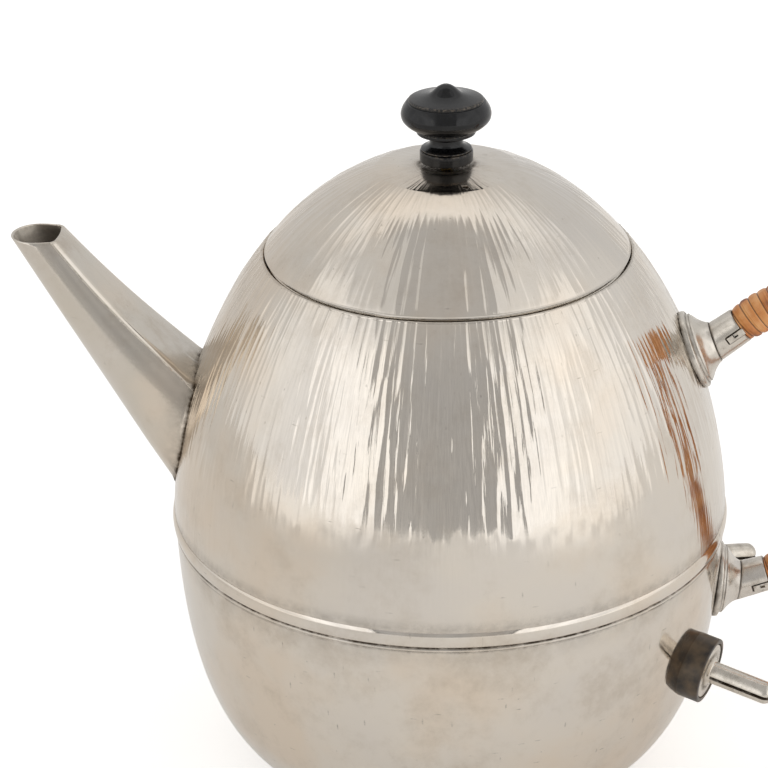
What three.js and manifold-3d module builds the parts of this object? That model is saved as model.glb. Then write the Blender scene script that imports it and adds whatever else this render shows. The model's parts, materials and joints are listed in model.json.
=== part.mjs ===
// A nickel-plated electric tea kettle: a hammered egg-shaped vessel with a lift-off lid, standing in a
// smooth casing that hides the heating element. Millimetres, +Z up. The origin is on the kettle's axis,
// on the flat underside that it stands on. The handle is at +X, the spout at -X.

import * as THREE from "three";
import { mergeVertices } from "three/addons/utils/BufferGeometryUtils.js";
import Module from "manifold-3d";

const wasm = await Module();
wasm.setup();

// ---------- driving dimensions ----------
const BEAD_R = 80; // outer radius of the band, the widest place
const BAND_Z = 78; // height of the band, where the vessel meets the casing
const WALL = 1; // sheet thickness
const GAP = 0.3; // clearance between pieces that touch
const SEGMENTS = 36; // facets round every piece on the main axis

// Outer outline above the band (egg) and below it (casing), h from the band: r (1 - (h / H)^p)^(1 / q)
const EGG = { r: 79.4, H: 106.1, p: 1.762, q: 2.06 };
const CASING = { r: 79.1, H: 78, p: 2.073, q: 6.028 };
const CROWN = { fromZ: BAND_Z + 102.6, z: BAND_Z + 104 }; // the lid flattens off under its knob

const BEAD = { below: 3.4, above: 3.2, inner: 78.1 };
const SEAM_Z = BAND_Z + 79; // where the lid's edge rests
const MOUTH = { collarR: 45.2, collarWall: 0.9, ledge: 1.2, depth: 9 };
const FOOT_R = 46; // the flat foot's outer radius
const COVER = { r: 41.6, thick: 1.2, screwR: 34, hole: 1.5, firstScrew: 60 }; // bottom cover
const COVER_RING = { inner: 29, outer: 44.6, z: 1.5, thick: 2 }; // what the cover screws bite into
const SCREW = { headR: 2.7, shankR: 1.2, head: 1.2, length: 6, slot: 0.8 };
const PAN = { floor: 56, wall: 0.9, cornerR: 8, cornerAt: 64, joint: 0.7, lap: 10 };

const HANDLE = { rod: 3.5, caneEnd: 5.0, caneMiddle: 6.9 };
const SOCKET = { ring: 10.5, cone: 9.7, end: 5.8, length: 6.5, stud: 2 };
// Each root of the handle: its height, the socket's tilt and the direction in which the grip sets out
const UPPER = { z: BAND_Z + 49.3, tilt: 22.5, grip: 38, flange: 11.8, seam: 0 };
const LOWER = { z: BAND_Z - 24.3, tilt: -5, grip: 19, flange: 11.1, seam: 1.2 };
const FERRULE = { outer: 5.4, inner: 4.6, length: 8.6, slot: 2.2 };
const REACH = 66; // how far the handle's curve pulls outwards from each ferrule

const PIN = { z: 43.3, spread: 24, tilt: -8.8, r: 3.2, length: 25, shank: 3, collar: 7.9, slit: 0.9 };
const BUSH = { r: 9.5, depth: 5.7, bore: 8.2 };
const LEAD_R = 1.2;
const STACK = { stud: 3, micaR: 50, elementR: 48, clampR: 42, length: 17 }; // the heating stack

// The spout's nose and flat back run from the level tip down to where they meet the body
const SPOUT = {
  tipZ: BAND_Z + 81.6,
  noseZ: BAND_Z + 5.5,
  backZ: BAND_Z + 42,
  nose: [-122, -79],
  back: [-108.4, -71],
  width: [15, 35],
  flat: [12.6, 23.4],
  wall: 0.9,
};
const STRAINER = { hole: 1.6, rows: [88, 94.5, 101, 107.5], across: 6.5 };

const STEAM = { r: 0.8, at: 17, angle: -70.3 }; // steam hole in the lid
const LID = { inset: 0.5, wall: 0.8, bezel: 0.9, bezelDepth: 7 };
const KNOB_Z = BAND_Z + 104.5; // underside of the knob's base disc
const KNOB = { baseR: 7.25, stud: 2, nut: 7 };

// The knob's head, [radius, height above KNOB_Z]: blind hole, neck, collar, round, cap and nipple
const KNOB_HEAD = [
  [0, 6.9], [2.3, 6.9], [2.3, 3.7], [6.9, 3.7], [6.9, 4], [5.5, 4.4], [4.5, 5.2], [4.5, 6.1],
  [5.2, 6.5], [7.3, 7.1], [8.1, 7.5], [8.1, 8.3], [9.9, 9.5], [11.3, 10.9], [12.3, 13.1],
  [11.9, 15.2], [10.6, 16.9], [10.1, 17.6], [6.6, 18.6], [4.3, 19.3], [3.2, 20.3], [1.6, 21.7], [0, 22],
];

// ---------- finishes ----------
const finish = (color, metalness, roughness) =>
  new THREE.MeshStandardMaterial({ color, metalness, roughness });
const nickel = finish("#cdc6ba", 1, 0.14);
const tinned = finish("#b9b6ae", 1, 0.4);
const steel = finish("#8f8f8d", 1, 0.45);
const ebonised = finish("#1f1f21", 0, 0.35);
const cane = finish("#c08446", 0, 0.5);
const ashRod = finish("#9a7a52", 0, 0.7);
const fibre = finish("#3b342e", 0, 0.55);
const mica = finish("#c9b98f", 0, 0.35);
const brass = finish("#b5985a", 1, 0.35);
const braid = finish("#d8d2c2", 0, 0.9);

// ---------- geometry helpers ----------
const group = new THREE.Group();
const rad = THREE.MathUtils.degToRad;
const v2 = (x, y) => new THREE.Vector2(x, y);

/** Adds a named piece to the kettle. */
function add(name, geometry, material) {
  const mesh = new THREE.Mesh(geometry, material);
  mesh.name = name;
  group.add(mesh);
  return mesh;
}

/** The geometry as one merged mesh of positions, with its faces pointing out. */
function closed(geometry) {
  const bare = geometry.clone();
  bare.deleteAttribute("normal");
  bare.deleteAttribute("uv");
  const merged = mergeVertices(bare, 1e-4);
  const at = merged.attributes.position;
  const index = merged.index.array;
  const [a, b, c] = [0, 1, 2].map(() => new THREE.Vector3());
  let volume = 0;
  for (let i = 0; i < index.length; i += 3) {
    a.fromBufferAttribute(at, index[i]);
    b.fromBufferAttribute(at, index[i + 1]);
    c.fromBufferAttribute(at, index[i + 2]);
    volume += a.dot(b.cross(c));
  }
  if (volume < 0) index.reverse();
  return merged;
}

const solid = (geometry) => {
  const g = closed(geometry);
  return new wasm.Manifold(
    new wasm.Mesh({
      numProp: 3,
      vertProperties: new Float32Array(g.attributes.position.array),
      triVerts: new Uint32Array(g.index.array),
    }),
  );
};

/** A manifold solid as a three.js geometry. */
function toGeometry(manifold) {
  const mesh = manifold.getMesh();
  const g = new THREE.BufferGeometry();
  g.setAttribute("position", new THREE.BufferAttribute(new Float32Array(mesh.vertProperties), 3));
  g.setIndex(new THREE.BufferAttribute(new Uint32Array(mesh.triVerts), 1));
  return g;
}

/** The first geometry with the others cut away. */
const cut = (geometry, ...tools) =>
  toGeometry(tools.reduce((left, tool) => left.subtract(solid(tool)), solid(geometry)));

/** A closed outline of [radius, height] pairs turned about +Z. */
function turned(outline, segments = SEGMENTS) {
  const points = outline.map(([r, z]) => v2(r, z));
  const onAxis = outline[0][0] === 0 && outline.at(-1)[0] === 0;
  if (!onAxis) points.push(points[0].clone());
  return closed(new THREE.LatheGeometry(points, segments).rotateX(Math.PI / 2));
}

/** A plain round bar along +Z from one height to another. */
function bar(r, from, to, segments = 16) {
  const upright = new THREE.CylinderGeometry(r, r, to - from, segments).rotateX(Math.PI / 2);
  return closed(upright.translate(0, 0, (from + to) / 2));
}

/** A washer or tube along +Z. */
const ring = (inner, outer, from, to, segments = 24) =>
  turned([[inner, from], [outer, from], [outer, to], [inner, to]], segments);

/** A hexagon nut on +Z with a round hole. */
const nut = (acrossFlats, hole, from, to) =>
  cut(bar(acrossFlats / Math.sqrt(3), from, to, 6), bar(hole, from - 1, to + 1, 14));

const box = (x, y, z, at) => closed(new THREE.BoxGeometry(x, y, z).translate(...at));

/** Stands a piece made along +Z at a point, with +Z turned to the given compass angle and tilt. */
function aimed(geometry, point, angle, tilt) {
  const turn = new THREE.Matrix4().makeRotationY(rad(90 - tilt));
  return geometry.clone().applyMatrix4(turn).rotateZ(rad(angle)).translate(...point);
}

/** A loft through closed rings of points, each ring capped to its own centre at the two ends. */
function loft(rings) {
  const n = rings[0].length;
  const points = rings.flat();
  const faces = [];
  const at = (level, i) => level * n + (i % n);
  for (let level = 0; level + 1 < rings.length; level++)
    for (let i = 0; i < n; i++) {
      faces.push(at(level, i), at(level, i + 1), at(level + 1, i + 1));
      faces.push(at(level, i), at(level + 1, i + 1), at(level + 1, i));
    }
  for (const level of [0, rings.length - 1]) {
    const middle = rings[level].reduce((sum, p) => sum.add(p), new THREE.Vector3()).divideScalar(n);
    points.push(middle);
    for (let i = 0; i < n; i++) {
      const edge = [at(level, i), at(level, i + 1)];
      if (level) faces.push(...edge, points.length - 1);
      else faces.push(...edge.reverse(), points.length - 1);
    }
  }
  const g = new THREE.BufferGeometry().setFromPoints(points);
  g.setIndex(faces);
  return closed(g);
}

/** A round rod along a curve in the XZ plane whose radius changes along it. */
function rod(curve, radius, steps, sides) {
  const rings = [];
  for (let step = 0; step <= steps; step++) {
    const t = step / steps;
    const centre = curve.getPointAt(t);
    const tangent = curve.getTangentAt(t);
    const across = new THREE.Vector3(0, 1, 0);
    const out = new THREE.Vector3().crossVectors(tangent, across);
    const r = radius(t);
    rings.push(
      Array.from({ length: sides }, (_, i) => {
        const a = (2 * Math.PI * i) / sides;
        const onRing = centre.clone().addScaledVector(out, r * Math.cos(a));
        return onRing.addScaledVector(across, r * Math.sin(a));
      }),
    );
  }
  return loft(rings);
}

// ---------- outlines of the vessel ----------
const outline = (shape, height) =>
  shape.r * Math.pow(1 - Math.pow(Math.max(height, 0) / shape.H, shape.p), 1 / shape.q);
const eggR = (z) => outline(EGG, z - BAND_Z);
const casingR = (z) => outline(CASING, BAND_Z - z);
const bodyR = (z) => (z > BAND_Z ? eggR(z) : casingR(z));

/** [radius, z] points of an outline between two heights, moved by an offset, closer together at the end. */
const along = (radiusAt, from, to, count, offset = 0) =>
  Array.from({ length: count }, (_, i) => {
    const z = from + (to - from) * Math.sin((Math.PI / 2) * (i / (count - 1)));
    return [radiusAt(z) + offset, z];
  });

/** The whole outside of the kettle, grown by the usual gap: what outside fittings are cut to. */
const ENVELOPE = turned([
  [0, 1],
  ...along(casingR, BAND_Z, 2, 8, GAP).reverse(),
  ...along(eggR, BAND_Z + 0.5, SEAM_Z + 20, 10, GAP),
  [0, SEAM_Z + 20],
]);

// ---------- the vessel ----------
/** Drilled holes behind the spout that keep leaves and scale back. */
function strainerHoles() {
  const holes = [];
  STRAINER.rows.forEach((z, row) => {
    const sides = row % 2 ? [-0.5, 0.5] : [-1, 0, 1];
    for (const side of sides) {
      const drill = bar(STRAINER.hole, -8, 8, 6);
      holes.push(aimed(drill, [-bodyR(z), side * STRAINER.across, z], 180, 0));
    }
  });
  return holes;
}

/** A point on the body's outside in the handle's plane, and the same for any compass angle. */
const onBody = (z, angle = 0) => {
  const r = bodyR(z);
  return [r * Math.cos(rad(angle)), r * Math.sin(rad(angle)), z];
};

const studHole = (place) => aimed(bar(SOCKET.stud + GAP, -12, 6, 12), onBody(place.z), 0, place.tilt);

function upperBody() {
  const foot = BAND_Z + GAP / 2;
  const rebate = BEAD.inner - GAP;
  const shoulder = BAND_Z + BEAD.above + GAP;
  const top = SEAM_Z - GAP;
  const shell = turned([
    [rebate - WALL, foot],
    [rebate, foot],
    [rebate, shoulder],
    ...along(eggR, shoulder, top, 8),
    ...along(eggR, shoulder + 1, top, 8, -WALL).reverse(),
    [rebate - WALL, shoulder + 1],
  ]);
  return cut(shell, studHole(UPPER), ...strainerHoles());
}

function lowerCasing() {
  const rebate = BEAD.inner - GAP;
  const shoulder = BAND_Z - BEAD.below - GAP;
  const outside = along(casingR, shoulder, 1.2, 8);
  const inside = along(casingR, shoulder - 1, 2.2, 7, -WALL);
  const shell = turned([
    [rebate - WALL, BAND_Z - GAP / 2],
    [rebate, BAND_Z - GAP / 2],
    [rebate, shoulder],
    ...outside,
    [FOOT_R, 0],
    [COVER.r + GAP, 0],
    [COVER.r + GAP, WALL],
    [FOOT_R - 0.4, WALL],
    ...inside.reverse(),
    [rebate - WALL, shoulder - 1],
  ]);
  const pinHoles = [-1, 1].map((side) => aimed(bar(PIN.shank + 1.2, -8, 6, 14), ...pinPlace(side)));
  return cut(shell, studHole(LOWER), ...pinHoles);
}

/** Half-round moulding that covers the joint between vessel and casing. */
function bandMoulding() {
  const from = BAND_Z - BEAD.below;
  const height = BEAD.below + BEAD.above;
  const bulge = Array.from({ length: 7 }, (_, i) => {
    const a = (Math.PI * i) / 6;
    const rise = BEAD_R - BEAD.inner - 0.5;
    return [BEAD.inner + 0.5 + rise * Math.sin(a), from + (height * (1 - Math.cos(a))) / 2];
  });
  return turned([[BEAD.inner, from], ...bulge, [BEAD.inner, from + height]]);
}

/** Turned ring soldered into the mouth: a ledge for the lid and a collar that guides its bezel. */
function mouthRing() {
  const top = SEAM_Z - GAP;
  const outer = eggR(top) - WALL - GAP;
  const low = top - MOUTH.depth;
  const collarOuter = MOUTH.collarR + MOUTH.collarWall;
  return turned([
    [MOUTH.collarR, low],
    [collarOuter, low],
    [collarOuter, top - MOUTH.ledge],
    [outer, top - MOUTH.ledge],
    [outer - 0.7, top],
    [MOUTH.collarR, top],
  ]);
}

/** The water vessel's lower wall, let into the egg's lower edge and turned in to take its floor. */
function vesselPan() {
  const corner = (r) =>
    Array.from({ length: 4 }, (_, i) => {
      const a = (Math.PI / 2) * (i / 3);
      return [PAN.cornerAt + r * Math.sin(a), PAN.floor + PAN.cornerR - r * Math.cos(a)];
    });
  const lapR = BEAD.inner - 2 * GAP - WALL;
  const rim = BAND_Z + PAN.lap;
  return turned([
    [PAN.cornerAt - PAN.joint, PAN.floor],
    ...corner(PAN.cornerR),
    [lapR, BAND_Z],
    [lapR, rim],
    [lapR - PAN.wall, rim],
    [lapR - PAN.wall, BAND_Z],
    ...corner(PAN.cornerR - PAN.wall).reverse(),
    [PAN.cornerAt - PAN.joint, PAN.floor + PAN.wall],
  ]);
}

/** Flat disc brazed into the pan's turned-in edge, the vessel's floor over the heating stack. */
function panFloor() {
  return bar(PAN.cornerAt - PAN.joint - GAP, PAN.floor, PAN.floor + PAN.wall, SEGMENTS);
}

// ---------- the spout ----------
/** One level section: round nose, sides that close in a little, and a flat back, drawn in by an offset. */
function spoutSection(z, offset) {
  const down = (foot) => (SPOUT.tipZ - z) / (SPOUT.tipZ - foot); // 0 at the tip, 1 at the given foot
  const mix = ([tip, foot], t) => tip + (foot - tip) * t;
  const sag = 1.5 * Math.sin(Math.PI * Math.min(1, Math.max(0, down(SPOUT.backZ))));
  const nose = mix(SPOUT.nose, down(SPOUT.noseZ)) + offset * 1.15;
  const back = mix(SPOUT.back, down(SPOUT.backZ)) - sag - offset * 1.4;
  const half = mix(SPOUT.width, Math.min(1, 1.25 * down(SPOUT.noseZ))) / 2 - offset;
  const flat = Math.min(mix(SPOUT.flat, down(SPOUT.backZ)) / 2 - offset, half * 0.9);
  const middle = nose + (back - nose) * 0.52;
  const points = [];
  for (let i = 0; i <= 10; i++) {
    const a = Math.PI * (i / 10 - 0.5);
    points.push(new THREE.Vector3(middle - (middle - nose) * Math.cos(a), half * Math.sin(a), z));
  }
  for (const side of [1, -1]) {
    const shoulderY = side * mix([half, flat], 0.25);
    const shoulder = new THREE.Vector3(middle + (back - middle) * 0.55, shoulderY, z);
    const corner = new THREE.Vector3(back, side * flat, z);
    points.push(...(side > 0 ? [shoulder, corner] : [corner, shoulder]));
  }
  return points;
}

function spout() {
  const levels = (top) => [BAND_Z - 8, BAND_Z + 20, BAND_Z + 42, BAND_Z + 54, BAND_Z + 68, top];
  const outer = loft(levels(SPOUT.tipZ).map((z) => spoutSection(z, 0)));
  const bore = loft(levels(SPOUT.tipZ + 3).map((z) => spoutSection(z, SPOUT.wall)));
  return cut(outer, bore, ENVELOPE);
}

// ---------- the handle ----------
/** The unit vector in the XZ plane that leans up by an angle. */
const leaning = (angle) => new THREE.Vector3(Math.cos(rad(angle)), 0, Math.sin(rad(angle)));

/** Where a socket's outer end face meets the grip. */
const socketEnd = (place) =>
  new THREE.Vector3(...onBody(place.z)).addScaledVector(leaning(place.tilt), SOCKET.length + GAP);
const gripDirection = (place) => leaning(place.grip);
const ferruleEnd = (place) => socketEnd(place).addScaledVector(gripDirection(place), FERRULE.length);

const gripCurve = new THREE.CubicBezierCurve3(
  ferruleEnd(UPPER),
  ferruleEnd(UPPER).addScaledVector(gripDirection(UPPER), REACH),
  ferruleEnd(LOWER).addScaledVector(gripDirection(LOWER), REACH),
  ferruleEnd(LOWER),
);

/** Turned boss on the body: a flange, a ring and a hollow cone, drilled for its stud. */
function socket(place) {
  const boss = turned(
    [
      [0, -4],
      [place.flange, -4],
      [place.flange, 1],
      [place.flange - 0.4, 1.4],
      [SOCKET.ring, 1.4],
      [SOCKET.ring, 2],
      [SOCKET.cone, 2.5],
      [SOCKET.cone - 2.4, 4.2],
      [SOCKET.end + 0.3, 5.9],
      [SOCKET.end, SOCKET.length],
      [0, SOCKET.length],
    ],
    20,
  );
  const drilled = cut(boss, bar(SOCKET.stud + GAP, -6, 4, 12));
  return cut(aimed(drilled, onBody(place.z), 0, place.tilt), ENVELOPE);
}

/** Rolled sleeve between socket and grip, with an open seam on the side of the near contact pin. */
function ferrule(place) {
  const start = -6;
  const sleeve = ring(FERRULE.inner, FERRULE.outer, start, FERRULE.length - GAP, 20);
  const seam = box(FERRULE.slot, 4, 5.6, [place.seam, -FERRULE.outer, FERRULE.length - 2.2]);
  const inPlace = aimed(cut(sleeve, seam), socketEnd(place).toArray(), 0, place.grip);
  return cut(inPlace, aimed(bar(20, -30, SOCKET.length + GAP, 24), onBody(place.z), 0, place.tilt));
}

/** Flat key that closes a ferrule's seam and pins the rod: two lands with a notch between them. */
function ferruleKey(place) {
  const width = FERRULE.slot - 2 * GAP;
  const y = -FERRULE.outer + 0.45;
  const strip = box(width, 1.1, 4.4, [place.seam, y, FERRULE.length - 2.5]);
  const notch = box(width + 1, 0.6, 1.2, [place.seam, y - 0.5, FERRULE.length - 2.6]);
  return aimed(cut(strip, notch), socketEnd(place).toArray(), 0, place.grip);
}

const caneRadius = (t) => {
  const swell = Math.sin(Math.PI * Math.min(1, Math.max(0, t)));
  return HANDLE.caneEnd + (HANDLE.caneMiddle - HANDLE.caneEnd) * Math.pow(swell, 0.6);
};

function caneBinding() {
  const outer = rod(gripCurve, caneRadius, 24, 10);
  const bore = rod(lengthened(0.4), () => HANDLE.rod + GAP, 24, 8);
  return cut(outer, bore);
}

/** The grip's curve carried straight on past both ends. */
function lengthened(by) {
  const path = new THREE.CurvePath();
  const [first, last] = [gripCurve.getPointAt(0), gripCurve.getPointAt(1)];
  path.add(new THREE.LineCurve3(first.clone().addScaledVector(gripDirection(UPPER), -by), first));
  path.add(gripCurve);
  path.add(new THREE.LineCurve3(last, last.clone().addScaledVector(gripDirection(LOWER), -by)));
  return path;
}

// ---------- electrical fittings ----------
/** Point, compass angle and tilt of a contact pin, side -1 or 1 of the handle. */
const pinPlace = (side) => [onBody(PIN.z, side * PIN.spread), side * PIN.spread, PIN.tilt];

/** Split contact pin: a threaded shank, a collar, and a round-ended pin sawn along its length. */
function contactPin() {
  const face = BUSH.depth - 0.5;
  const tip = PIN.length;
  const turnedPin = turned(
    [
      [0, -12],
      [PIN.shank, -12],
      [PIN.shank, 2.8],
      [PIN.collar, 2.8],
      [PIN.collar, face],
      [PIN.r + 1.2, face],
      [PIN.r + 0.3, face + 0.5],
      [PIN.r, face + 1.4],
      [PIN.r, tip - 2.2],
      [PIN.r * 0.8, tip - 0.9],
      [PIN.r * 0.4, tip - 0.15],
      [0, tip],
    ],
    16,
  );
  const slitFrom = face + 1.2;
  return cut(turnedPin, box(PIN.slit, 12, 30, [0, 0, slitFrom + 15]));
}

/** Fibre cup round the pin's collar, its back shaped to the casing. */
function pinBush(side) {
  const cup = turned(
    [
      [PIN.shank + GAP, -4],
      [BUSH.r, -4],
      [BUSH.r, BUSH.depth - 0.8],
      [BUSH.r - 0.6, BUSH.depth],
      [BUSH.bore, BUSH.depth],
      [BUSH.bore, 2.5],
      [PIN.shank + GAP, 2.5],
    ],
    20,
  );
  return cut(aimed(cup, ...pinPlace(side)), ENVELOPE);
}

/** Lead from a pin's inner end up to the element's edge. */
function lead(side) {
  const [point, angle, tilt] = pinPlace(side);
  const inward = (depth, rise) =>
    new THREE.Vector3(-depth * Math.cos(rad(tilt)), 0, -depth * Math.sin(rad(tilt)) + rise)
      .applyAxisAngle(new THREE.Vector3(0, 0, 1), rad(angle))
      .add(new THREE.Vector3(...point));
  const stops = [[12.4, 0], [15, 0], [19, 4], [23, 7.5]];
  const path = new THREE.CatmullRomCurve3(stops.map((stop) => inward(...stop)));
  const section = new THREE.Shape().absarc(0, 0, LEAD_R, 0, 2 * Math.PI);
  const options = { extrudePath: path, steps: 8, curveSegments: 5, bevelEnabled: false };
  return closed(new THREE.ExtrudeGeometry(section, options));
}

// ---------- the pieces ----------
add("upper_body", upperBody(), nickel);
add("band_moulding", bandMoulding(), nickel);
add("lower_casing", lowerCasing(), nickel);
add("mouth_ring", mouthRing(), nickel);
add("vessel_pan", vesselPan(), tinned);
add("pan_floor", panFloor(), tinned);
add("spout", spout(), nickel);

for (const [name, place] of [["upper", UPPER], ["lower", LOWER]]) {
  const seat = [onBody(place.z), 0, place.tilt];
  const hole = SOCKET.stud + GAP;
  add(`${name}_socket`, socket(place), nickel);
  add(`${name}_socket_stud`, aimed(bar(SOCKET.stud, -7, 3.4, 12), ...seat), brass);
  add(`${name}_socket_washer`, aimed(ring(hole, 5.2, -2.7, -1.9, 14), ...seat), brass);
  add(`${name}_socket_nut`, aimed(nut(7, hole, -6, -3), ...seat), brass);
  add(`${name}_ferrule`, ferrule(place), nickel);
  add(`${name}_ferrule_key`, ferruleKey(place), nickel);
}
add("handle_rod", rod(lengthened(FERRULE.length - 4), () => HANDLE.rod, 26, 8), ashRod);
add("cane_binding", caneBinding(), cane);

for (const [number, side] of [[1, -1], [2, 1]]) {
  const place = pinPlace(side);
  add(`contact_pin_${number}`, aimed(contactPin(), ...place), nickel);
  add(`pin_bush_${number}`, pinBush(side), fibre);
  add(`pin_washer_${number}`, aimed(ring(PIN.shank + GAP, 7.5, -3.6, -1.8, 16), ...place), fibre);
  add(`pin_nut_${number}`, aimed(nut(9, PIN.shank + GAP, -7, -3.9), ...place), brass);
  add(`heater_lead_${number}`, lead(side), braid);
}

/** A washer of the heating stack between two depths under the pan. */
const plate = (r, from, to) => {
  const top = PAN.floor - GAP;
  return ring(STACK.stud + GAP, r, top - from, top - to);
};

add("clamp_stud", bar(STACK.stud, PAN.floor - GAP - STACK.length, PAN.floor - GAP, 12), steel);
add("upper_mica", plate(STACK.micaR, 0.5, 0), mica);
add("heating_element", plate(STACK.elementR, 3.3, 0.8), steel);
add("lower_mica", plate(STACK.micaR, 4.1, 3.6), mica);
add("clamp_plate", plate(STACK.clampR, 7.4, 4.4), steel);
add("clamp_nut", nut(10, STACK.stud + GAP, PAN.floor - GAP - 12.7, PAN.floor - GAP - 7.7), steel);

const threeOf = [0, 1, 2];
const screwAt = (i) => {
  const turn = rad(COVER.firstScrew + 120 * i);
  return [COVER.screwR * Math.cos(turn), COVER.screwR * Math.sin(turn), 0];
};
const screwDrill = (i) => bar(COVER.hole, -1, 9, 12).translate(...screwAt(i));
const headSeat = (i) =>
  turned([[0, -0.5], [3.6, -0.5], [3.3, 0.1], [1.5, 1.3], [0, 1.3]], 12).translate(...screwAt(i));

/** Ring soldered inside the foot that the cover is screwed to. */
function coverRing() {
  const blank = ring(COVER_RING.inner, COVER_RING.outer, COVER_RING.z, COVER_RING.z + COVER_RING.thick);
  return cut(blank, ...threeOf.map(screwDrill));
}

/** Flat disc under the foot with three countersunk holes. */
function baseCover() {
  return cut(bar(COVER.r, 0, COVER.thick, SEGMENTS), ...threeOf.map(headSeat), ...threeOf.map(screwDrill));
}

/** Slotted countersunk screw, its head just under the cover's face. */
function coverScrew(i) {
  const headTop = 0.15;
  const neck = headTop + SCREW.head;
  const shank = [[SCREW.shankR, neck], [SCREW.shankR, SCREW.length], [0, SCREW.length]];
  const screw = turned([[0, headTop], [SCREW.headR, headTop], ...shank], 12);
  return cut(screw, box(7, SCREW.slot, 0.7, [0, 0, 0.1])).translate(...screwAt(i));
}

add("cover_ring", coverRing(), brass);
add("base_cover", baseCover(), nickel);
for (const i of threeOf) add(`cover_screw_${i + 1}`, coverScrew(i), nickel);

// ---------- the lid ----------
function lidShell() {
  const dome = (drop, inset) => [
    ...along(eggR, SEAM_Z + GAP, CROWN.fromZ, 7, -inset).map(([r, z], i) => [r, z - (i ? drop : 0)]),
    [5, CROWN.z - 0.1 - drop],
    [0, CROWN.z - drop],
  ];
  const shell = turned([...dome(0, LID.inset), ...dome(LID.wall, LID.inset + LID.wall - 0.1).reverse()]);
  const drill = (r, sides) => bar(r, CROWN.z - 8, CROWN.z + 4, sides);
  const steam = drill(STEAM.r, 8).translate(STEAM.at, 0, 0).rotateZ(rad(STEAM.angle));
  return cut(shell, drill(KNOB.stud + GAP, 12), steam);
}

/** Bezel inside the lid: a ring that drops into the mouth's collar. */
function lidBezel() {
  const low = SEAM_Z - LID.bezelDepth;
  const flange = SEAM_Z + 2.2;
  const top = SEAM_Z + 3.4;
  const outer = MOUTH.collarR - GAP;
  const inner = outer - LID.bezel;
  return turned([
    [inner, low],
    [outer, low],
    [outer, flange],
    [outer + 1.6, flange],
    [outer + 1.2, top],
    [inner, top],
  ]);
}

/** The disc under the knob's head, held clear of the lid's flat. */
function knobBase() {
  const bore = KNOB.stud + GAP;
  const profile = [[bore, 0.5], [KNOB.baseR, 0.5], [KNOB.baseR, 3], [KNOB.baseR - 0.35, 3.4], [bore, 3.4]];
  return turned(profile.map(([r, z]) => [r, KNOB_Z + z]), 20);
}

const knobHead = () => turned(KNOB_HEAD.map(([r, z]) => [r, KNOB_Z + z]), 20);

add("lid_shell", lidShell(), nickel);
add("lid_bezel", lidBezel(), nickel);
add("knob_base", knobBase(), ebonised);
add("knob_head", knobHead(), ebonised);
add("knob_stud", bar(KNOB.stud, KNOB_Z - 7, KNOB_Z + 6.6, 12), brass);
add("knob_washer", ring(KNOB.stud + GAP, 6, KNOB_Z - 2.3, KNOB_Z - 1.5, 16), brass);
add("knob_nut", nut(KNOB.nut, KNOB.stud + GAP, KNOB_Z - 5.6, KNOB_Z - 2.6), brass);

export default group;
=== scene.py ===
"""Looks of a nickel-plated electric kettle: hammered vessel, smooth casing, straight spout and cane grip.

Every size is in millimetres and turned to metres where a mesh is made. The kettle stands on z = 0 with
its axis on z, its handle at +x and its spout at -x.
"""

import json
import logging
from dataclasses import dataclass, field
from enum import Enum

import bpy
import numpy as np
from mathutils import Matrix


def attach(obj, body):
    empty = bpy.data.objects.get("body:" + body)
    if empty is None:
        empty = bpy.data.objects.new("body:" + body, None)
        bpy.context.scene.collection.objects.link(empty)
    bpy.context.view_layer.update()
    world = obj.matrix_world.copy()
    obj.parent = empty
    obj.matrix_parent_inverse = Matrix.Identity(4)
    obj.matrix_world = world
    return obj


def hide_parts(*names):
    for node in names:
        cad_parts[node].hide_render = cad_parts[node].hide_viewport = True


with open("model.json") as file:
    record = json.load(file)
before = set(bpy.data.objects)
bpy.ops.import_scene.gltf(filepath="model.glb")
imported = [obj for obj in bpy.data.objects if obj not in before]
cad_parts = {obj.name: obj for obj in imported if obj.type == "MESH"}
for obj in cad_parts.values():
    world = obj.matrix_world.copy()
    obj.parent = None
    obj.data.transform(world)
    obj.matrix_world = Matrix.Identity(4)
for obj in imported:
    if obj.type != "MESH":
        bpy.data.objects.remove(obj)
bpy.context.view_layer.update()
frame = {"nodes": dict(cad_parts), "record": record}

MM = 0.001
TURN = 2 * np.pi
TINY = 1e-6  # millimetres: points nearer than this are one point, and nothing is divided by less
HALVINGS = 30  # of a stretch, until its middle is where a piece meets the body

# Sockets by number, where a node's sockets share names: Map Range on numbers, and Mix on colours.
VALUE, LOW, HIGH, OUT_LOW, OUT_HIGH = range(5)
FACTOR, UNDER, OVER = 0, 6, 7
MIXED = 2  # the colour that Mix gives out

Tree = bpy.types.NodeTree
Socket = bpy.types.NodeSocket
Piece = bpy.types.Object
Stops = list[tuple[float, str | float]]

log = logging.getLogger("kettle")


class Slot(Enum):
    """The record's material slots."""

    NICKEL = "nickel_plate"
    TIN = "tinned_copper"
    BRASS = "brass"
    ROD = "ash_rod"
    CANE = "rattan_cane"
    FIBRE = "vulcanised_fibre"
    SLEEVE = "braided_sleeve"
    STEEL = "steel"
    MICA = "mica"
    EBONY = "ebonised_wood"


class Body(Enum):
    """The bodies that move as one."""

    KETTLE = "kettle"
    LID = "lid"


# ---------------------------------------------------------------- surfaces


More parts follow.
